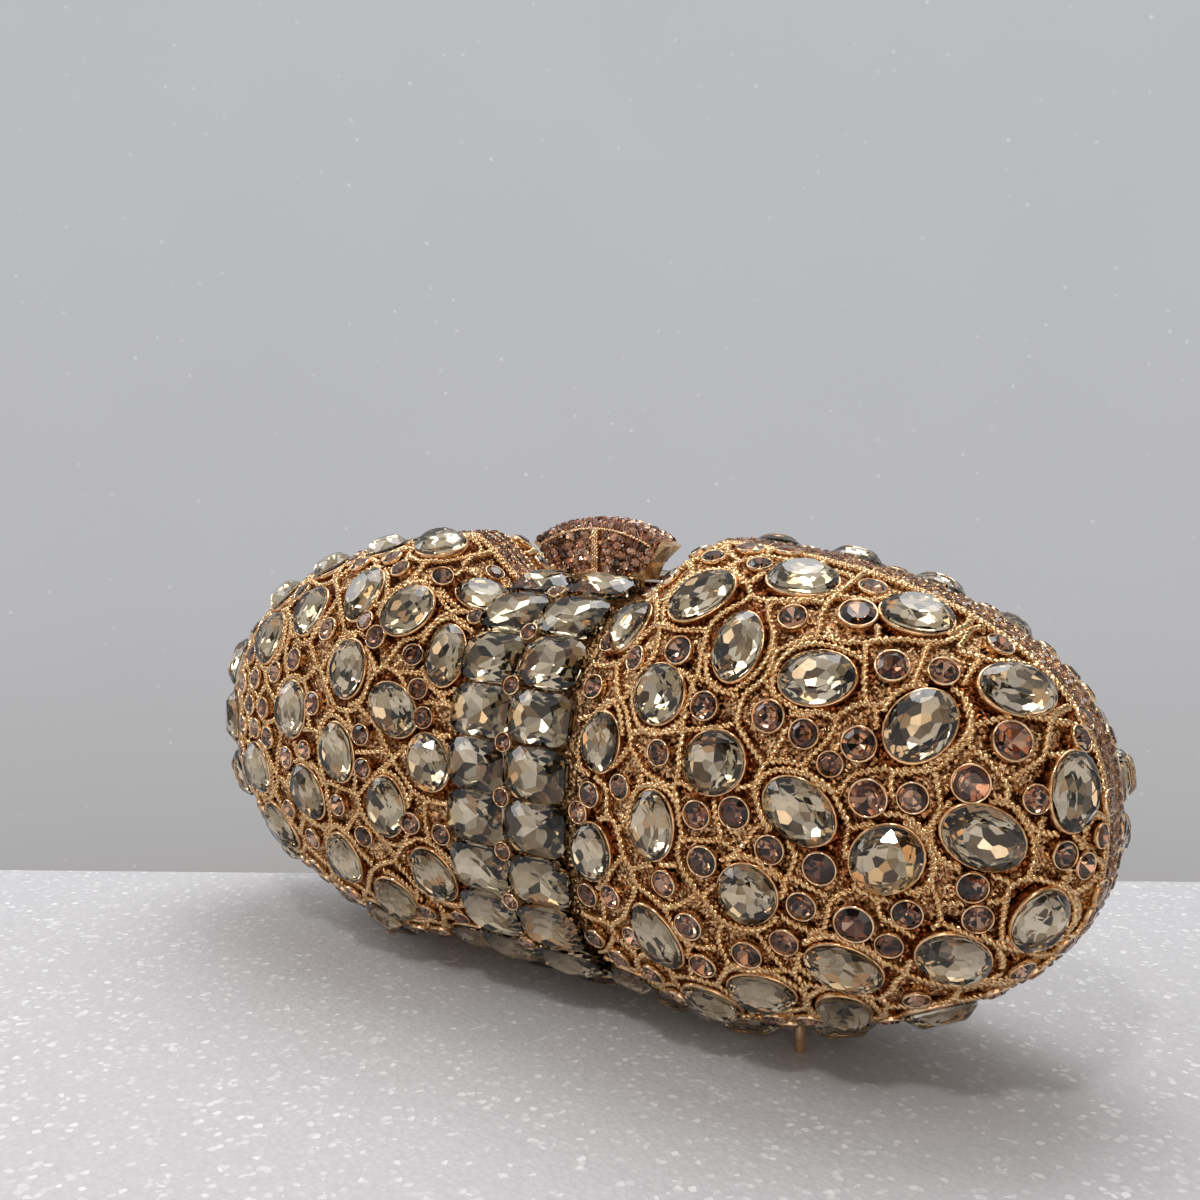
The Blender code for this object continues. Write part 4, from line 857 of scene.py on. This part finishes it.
oval_tiers = (
    (8, 0, 40, 1.0, 0.0), (8, 22.5, 26, 0.55, 0.36), (16, 11.25, 46, 0.8, 0.18),
    (12, 0, 158, 1.0, -0.19), (8, 22.5, 165, 0.72, -0.31), (5, 9, 174, 0.35, -0.41),
)
oval_stone = cut_stone("oval_stone", rough_stone(32), 0.36, oval_tiers)
smoke_glass = stone_glass("smoke_glass", (0.84, 0.775, 0.65), (0.64, 0.56, 0.42), 0.006)
# Painted reflections: some foil facets darkened as if mirroring the dark room, some tinted gold-brown as if
# mirroring the gold.
smoke_painted_reflections = (
    (0.0, (1.0, 1.0, 1.0)), (0.46, (0.7, 0.66, 0.57)), (0.7, (0.78, 0.55, 0.36)), (0.77, (0.42, 0.33, 0.23)),
    (0.88, (0.08, 0.072, 0.06)),
)
smoke_foil = foil("smoke_foil", (0.9, 0.855, 0.775), (0.82, 0.76, 0.66), smoke_painted_reflections)
smoke_crystal = (smoke_glass, smoke_foil)
for name, (table, side, face) in lobes.items():
    seats = lobe_seats(name, charts[table][0], stone_lift, stone_height, stone_trim)
    show_copies(f"{name}_smoke_stones", oval_stone, seats, smoke_crystal, "smoke_crystal", side + face)
cup_ring = turned_ring("cup_ring", cup_profile, 26)
cup_gold = gold_finish("cup_gold", (0.9, 0.62, 0.37), (0.6, 0.33, 0.15), 0.2, 600.0, 0.00004)
for name, (table, _, _) in lobes.items():
    seats = lobe_seats(name, charts[table][0], cup_lift, cup_height, stone_trim)
    show_copies(f"{name}_cups", cup_ring, seats, cup_gold)

# The small round stones: champagne glass, foiled behind, each in a bright smooth bezel ring with a rolled
# lip. They fill the gaps between the large stones and stand about half as high.
round_lift, round_height, round_trim, round_reach = 0.0011, 0.0023, -0.0003, 0.002
bezel_lift, bezel_height = -0.0008, 0.0023
bezel_profile = (
    (0.86, 0.0), (1.0, 0.0), (1.0, 0.8), (0.985, 0.92), (0.95, 1.0), (0.905, 1.0), (0.87, 0.93), (0.86, 0.8),
)
round_tiers = ((8, 0, 38, 1.0, 0.0), (8, 22.5, 24, 0.6, 0.34), (8, 22.5, 150, 1.0, -0.1))
round_stone = cut_stone("round_stone", rough_stone(16), 0.34, round_tiers)
bezel_ring = turned_ring("bezel_ring", bezel_profile, 22)
champagne_glass = stone_glass("champagne_glass", (0.83, 0.67, 0.56), (0.66, 0.46, 0.35), 0.01)
# Painted reflections: some foil facets darkened, down to near black, as if mirroring the dark room.
champagne_painted_reflections = (
    (0.0, (1.0, 1.0, 1.0)), (0.4, (0.62, 0.52, 0.46)), (0.65, (0.3, 0.2, 0.15)), (0.85, (0.08, 0.045, 0.03)),
)
champagne_foil = foil("champagne_foil", (0.86, 0.72, 0.61), (0.76, 0.55, 0.43), champagne_painted_reflections)
champagne = (champagne_glass, champagne_foil)
bezel_gold = gold_finish("bezel_gold", (0.96, 0.72, 0.47), (0.66, 0.38, 0.18), 0.16, 500.0, 0.00003)
for name, (table, side, face) in lobes.items():
    small = charts[table][1]
    seats = lobe_seats(name, small, round_lift, round_height, round_trim, round_reach)
    show_copies(f"{name}_champagne_stones", round_stone, seats, champagne, "champagne_crystal", side + face)
    seats = lobe_seats(name, small, bezel_lift, bezel_height, 0.0, round_reach)
    show_copies(f"{name}_bezels", bezel_ring, seats, bezel_gold)

# The stone border: little champagne stones in two staggered rows on each half, set between beaded wires on
# a gold rail beside the seam of every lobe, from the waist over the tip to the hinge.
chip_radius, chip_height, chip_lift, chip_step = 0.00096, 0.0016, 0.00085, 0.00098
chip_rows, bead_rows, rail_rows = (0.0012, 0.0031), (0.00045, 0.00215, 0.0040), (0.0014, 0.0030)
bead_pitch, bead_thickness, rail_pitch, rail_thickness, rail_step = 0.0016, 0.36, 0.5, 1.7, 0.0008
rail_lift, chip_lean, lobe_middle = -0.0002, 0.16, 0.06


def tipped_seat(number, lean):
    """Small tilt that setting by hand leaves in a stone."""
    tilt = Matrix.Rotation(lean * math.sin(number * 5.1), 4, "X")
    return tilt @ Matrix.Rotation(lean * math.cos(number * 3.3), 4, "Y")


chip_stone = cut_stone("chip_stone", rough_stone(8, 1.2), 0.42, ((6, 0, 38, 1.0, 0.02),))
for name, (_, side, face) in lobes.items():
    seats = []
    for start, depth in enumerate(chip_rows):
        path = border_path(side, face, depth, chip_lift, chip_step)
        way = np.gradient(path, axis=0)
        for number in range(start, len(path), 2):
            long_way, spot = Vector(way[number]).normalized(), Vector(path[number])
            normal = Vector((0.0, -1.0, 0.0)).cross(long_way).normalized()
            if normal.dot(spot - Vector((lobe_middle * side * face, 0.0, middle_height))) < 0:
                normal.negate()
            size = chip_radius * (1 + 0.05 * math.sin(number * 3.7))
            seat = seat_matrix(long_way * size, normal.cross(long_way) * size, normal * chip_height, spot)
            seats.append(seat @ tipped_seat(number, chip_lean))
    border = show_copies(f"{name}_border_stones", chip_stone, seats, champagne, "champagne_crystal", side)
    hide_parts(f"{name}_pave")
    beads = [border_path(side, face, depth, chip_lift, rope_step) for depth in bead_rows]
    twist_wire(f"{name}_border_wires", beads, bead_pitch, bezel_gold, bead_thickness)
    rail = [border_path(side, face, depth, rail_lift, rail_step) for depth in rail_rows]
    twist_wire(f"{name}_border_rail", rail, rail_pitch, sanded_gold, rail_thickness)

# The waist band: two columns of cushion-cut smoke stones, touching like bricks, on a gold gallery, with a
# small champagne stone in its bezel at each place where four of them meet.
band_rows, column_place = 10, 0.00752
cushion_half_width, cushion_half_height, cushion_lift, cushion_thick = 0.00725, 0.00512, 0.0026, 0.005
accent_radius, accent_lift, accent_thick = 0.0017, 0.0031, 0.002
band_bezel_radius, band_bezel_height = 0.002, 0.0035
gallery_half_width, gallery_lift, gallery_wall = 0.0149, -0.0008, 0.0004
rough = rough_stone(16)
for vert in rough.verts:
    corner, part = divmod(round(math.atan2(vert.co.y, vert.co.x) / math.radians(22.5)) % 16, 4)
    turn, diagonal = math.radians(90 * corner + 30 * part), math.radians(90 * corner + 45)
    vert.co.x = 0.5 * math.cos(turn) + math.cos(diagonal) / math.sqrt(2)
    vert.co.y = 0.5 * math.sin(turn) + math.sin(diagonal) / math.sqrt(2)
    vert.co.z -= 0.2
cushion_tiers = (
    (4, 0, 40, 1.0, 0.0), (4, 45, 40, 1.13, 0.0), (8, 22.5, 33, 0.86, 0.155), (8, 22.5, 20, 0.62, 0.32),
    (4, 0, 161, 1.0, -0.33), (4, 45, 163, 1.12, -0.33), (8, 22.5, 168, 0.6, -0.48),
)
cushion_stone = cut_stone("cushion_stone", rough, 0.32, cushion_tiers)
waist_arc = run_length(bow_point(np.zeros(chart_rows), chart_turn))
band_inset = float(np.interp(math.asin((seam_edge / waist_depth) ** section_power), chart_turn, waist_arc))
band_span = waist_arc[-1] - 2 * band_inset


def band_seat(x, share, half_wide, half_high, lift, thick, face):
    """Seat of a stone on the waist, at a share of the way from the top seam to the bottom one."""
    turn = np.interp(band_inset + share * band_span, waist_arc, chart_turn)
    spot = lifted_point(x, turn, lift)
    down = Vector(lifted_point(x, turn + 0.05, lift) - lifted_point(x, turn - 0.05, lift)).normalized()
    across = Vector(lifted_point(x + 0.003, turn, lift) - lifted_point(x - 0.003, turn, lift)).normalized()
    normal = down.cross(across).normalized()
    if normal.dot(Vector((0.0, spot[1], spot[2] - middle_height))) < 0:
        normal.negate()
    seat = seat_matrix(across * half_wide, normal.cross(across) * half_high, normal * thick, Vector(spot))
    return Matrix.Diagonal((face, face, 1.0, 1.0)) @ seat


for half, face in (("front", 1.0), ("rear", -1.0)):
    cushion_size = (cushion_half_width, cushion_half_height, cushion_lift, cushion_thick, face)
    seats = [
        band_seat(x, (row + 0.5) / band_rows, *cushion_size)
        for row in range(band_rows) for x in (-column_place, column_place)
    ]
    band = show_copies(f"{half}_band_stones", cushion_stone, seats, smoke_crystal, "smoke_crystal", face)
    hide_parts(f"{half}_band")
    meetings = [row / band_rows for row in range(1, band_rows)]
    accent_size = (accent_radius, accent_radius, accent_lift, accent_thick, face)
    seats = [band_seat(0.0, share, *accent_size) for share in meetings]
    show_copies(f"{half}_band_accents", round_stone, seats, champagne, "champagne_crystal", face)
    bezel_size = (band_bezel_radius, band_bezel_radius, 0.0, band_bezel_height, face)
    seats = [band_seat(0.0, share, *bezel_size) for share in meetings]
    show_copies(f"{half}_band_bezels", bezel_ring, seats, bezel_gold)
    bm = bmesh.new()
    bmesh.ops.create_grid(bm, x_segments=12, y_segments=80, size=1.0)
    grid = np.array([vert.co for vert in bm.verts])
    turns = np.interp(band_inset + (1 - grid[:, 1]) / 2 * band_span, waist_arc, chart_turn)
    laid = lifted_point(grid[:, 0] * gallery_half_width, turns, gallery_lift)
    for vert, spot in zip(bm.verts, laid):
        vert.co = (spot[0] * face, spot[1] * face, spot[2])
    bmesh.ops.recalc_face_normals(bm, faces=bm.faces[:])
    show_sheet(f"{half}_band_gallery", bm, sanded_gold, gallery_wall)

# The clasp knob: a cast gold fan with a bar down its middle and a raised edge, both fields and the top
# paved with little blush stones. It is pressed down to free the lid.
arc_radius, knob_height = 0.03208, 0.0122
stone_radius, stone_step, row_step, edge_inset, row_gap = 0.0009, 0.0019, 0.00172, 0.00055, 0.0006
foot_half_width, flare, flare_height = 0.0114, 0.0058, 0.0072
field_half_width, bar_half_width, top_half_angle = 0.0157, 0.00165, 0.5
top_lift, top_start, top_row_step, top_stone_height = 0.0006, -0.0008, 0.002, 0.0008
stone_lean, wire_inset, bar_wire_step, bar_start, bar_end = 0.22, 0.00165, 0.00055, 0.0006, 0.0018
knob_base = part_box("clasp_knob")[1][2] - knob_height
arc_middle = knob_height - arc_radius
hammered_gold = gold_finish("hammered_gold", (0.88, 0.6, 0.34), (0.5, 0.26, 0.1), 0.26, 500.0, 0.0003)
plate(("clasp_knob",), hammered_gold)
seats = []
for face, level, thick, lowest in ((-1.0, -0.003, 0.0011, 0.0009), (1.0, 0.0049, 0.0006, 0.0043)):
    for row in range(7):
        radius = arc_radius - edge_inset - (row > 0) * (row_gap + row * row_step)
        for step in range(-11, 12):
            angle = (step + (row % 2) * 0.5) * stone_step / radius
            x, up = radius * math.sin(angle), arc_middle + radius * math.cos(angle)
            edge = foot_half_width + flare * max(0.0, up / flare_height) ** 1.4 - (0.0011 if row else 0.0004)
            if abs(x) > min(edge, field_half_width) or up < lowest or (row and abs(x) < bar_half_width):
                continue
            across, rise = Vector((-face * stone_radius, 0, 0)), Vector((0, 0, stone_radius))
            spot = Vector((x, level, knob_base + up))
            seats.append(seat_matrix(across, rise, Vector((0, face * thick, 0)), spot))
for row in range(3):
    for step in range(-9, 10):
        angle = (step + (row % 2) * 0.5) * stone_step / arc_radius
        if abs(angle) > top_half_angle:
            continue
        normal = Vector((math.sin(angle), 0.0, math.cos(angle)))
        along = Vector((math.cos(angle), 0.0, -math.sin(angle)))
        centre = Vector((0.0, top_start + row * top_row_step, knob_base + arc_middle))
        spot, across = normal * (arc_radius + top_lift) + centre, Vector((0, stone_radius, 0))
        seats.append(seat_matrix(along * stone_radius, across, normal * top_stone_height, spot))
for number, seat in enumerate(seats):
    seats[number] = seat @ tipped_seat(number, stone_lean) @ Matrix.Rotation(number * 1.7, 4, "Z")
blush_glass = stone_glass("blush_glass", (0.93, 0.71, 0.59), (0.79, 0.54, 0.42), 0.01)
# Painted reflections: some foil facets darkened, down to near black, as if mirroring the dark room.
blush_painted_reflections = (
    (0.0, (1.0, 1.0, 1.0)), (0.5, (0.78, 0.66, 0.6)), (0.72, (0.45, 0.31, 0.25)), (0.88, (0.12, 0.07, 0.05)),
)
blush_foil = foil("blush_foil", (0.87, 0.69, 0.57), (0.78, 0.55, 0.42), blush_painted_reflections)
show_copies("knob_stones", chip_stone, seats, (blush_glass, blush_foil), "champagne_crystal", 3.0)
lines = []
for level in (-0.0029, 0.0053):
    sweep = np.linspace(-top_half_angle, top_half_angle, 90) * 0.98
    radius = arc_radius - wire_inset
    height = knob_base + arc_middle + radius * np.cos(sweep)
    lines.append(np.column_stack([radius * np.sin(sweep), np.full(90, level), height]))
    rise = np.linspace(bar_start, knob_height - bar_end, 30)
    for x in (-bar_wire_step, 0.0, bar_wire_step):
        lines.append(np.column_stack([np.full(30, x), np.full(30, level), knob_base + rise]))
twist_wire("knob_wires", lines, bead_pitch, bezel_gold, 0.5)

# The works of the frame: two gold hinge leaves and four turned feet, plated as the cups are, and a pin,
# a latch spring and a strike plate of brushed steel that the plating leaves bare.
plate(("front_hinge_leaf", "rear_hinge_leaf"), cup_gold)
plate(("front_left_foot", "front_right_foot", "rear_left_foot", "rear_right_foot"), cup_gold)
brushed_steel = gold_finish("brushed_steel", (0.62, 0.61, 0.59), (0.46, 0.45, 0.43), 0.32, 1.0, 0.00002)
tree = brushed_steel.node_tree
place = tree.nodes["Texture Coordinate"].outputs["Object"]
strokes = finish_step(tree, "Mapping", {"Scale": (140.0, 2600.0, 2600.0), "Vector": place})
feed(tree.nodes["Noise Texture"], {"Vector": strokes.outputs["Vector"]})
plate(("hinge_pin", "latch_spring", "strike_plate"), brushed_steel)

# The linings: champagne satin glued inside each half shell, woven with long floats that shine along the
# bag, a little uneven where the glue holds it.
satin = bpy.data.materials.new("champagne_satin")
satin.use_nodes = True
tree = satin.node_tree
place = finish_step(tree, "TexCoord", {}).outputs["Object"]
threads = finish_step(
    tree, "TexWave", {"Scale": 420.0, "Distortion": 0.6, "Detail Scale": 40.0, "Vector": place},
    bands_direction="Z",
).outputs["Fac"]
crossing = finish_step(
    tree, "TexWave", {"Scale": 230.0, "Distortion": 1.0, "Vector": place}, bands_direction="X",
).outputs["Fac"]
weave = number_step(tree, "MULTIPLY_ADD", crossing, 0.35, threads)
puckers = finish_step(tree, "TexNoise", {"Scale": 55.0, "Detail": 3.0, "Vector": place}).outputs["Fac"]
cloth = tone_ramp(tree, puckers, ((0.3, (0.46, 0.36, 0.25)), (0.7, (0.62, 0.51, 0.38))))
thread_tone = range_step(tree, weave, end=1.35, low=0.93, high=1.04)
woven = finish_step(tree, "VectorMath", {"Vector": cloth, "Scale": thread_tone}, operation="SCALE")
fold = finish_step(tree, "Bump", {"Strength": 0.6, "Distance": 0.0012, "Height": puckers}).outputs["Normal"]
thread_bump = finish_step(
    tree, "Bump", {"Strength": 0.15, "Distance": 0.00008, "Height": weave, "Normal": fold},
)
cloth_looks = {
    "Sheen Weight": 0.35, "Sheen Roughness": 0.4, "Anisotropic": 0.4, "Base Color": woven.outputs["Vector"],
    "Roughness": range_step(tree, puckers, low=0.34, high=0.5), "Normal": thread_bump.outputs["Normal"],
}
feed(tree.nodes["Principled BSDF"], cloth_looks)
plate(("front_lining", "rear_lining"), satin)

bpy.context.view_layer.update()
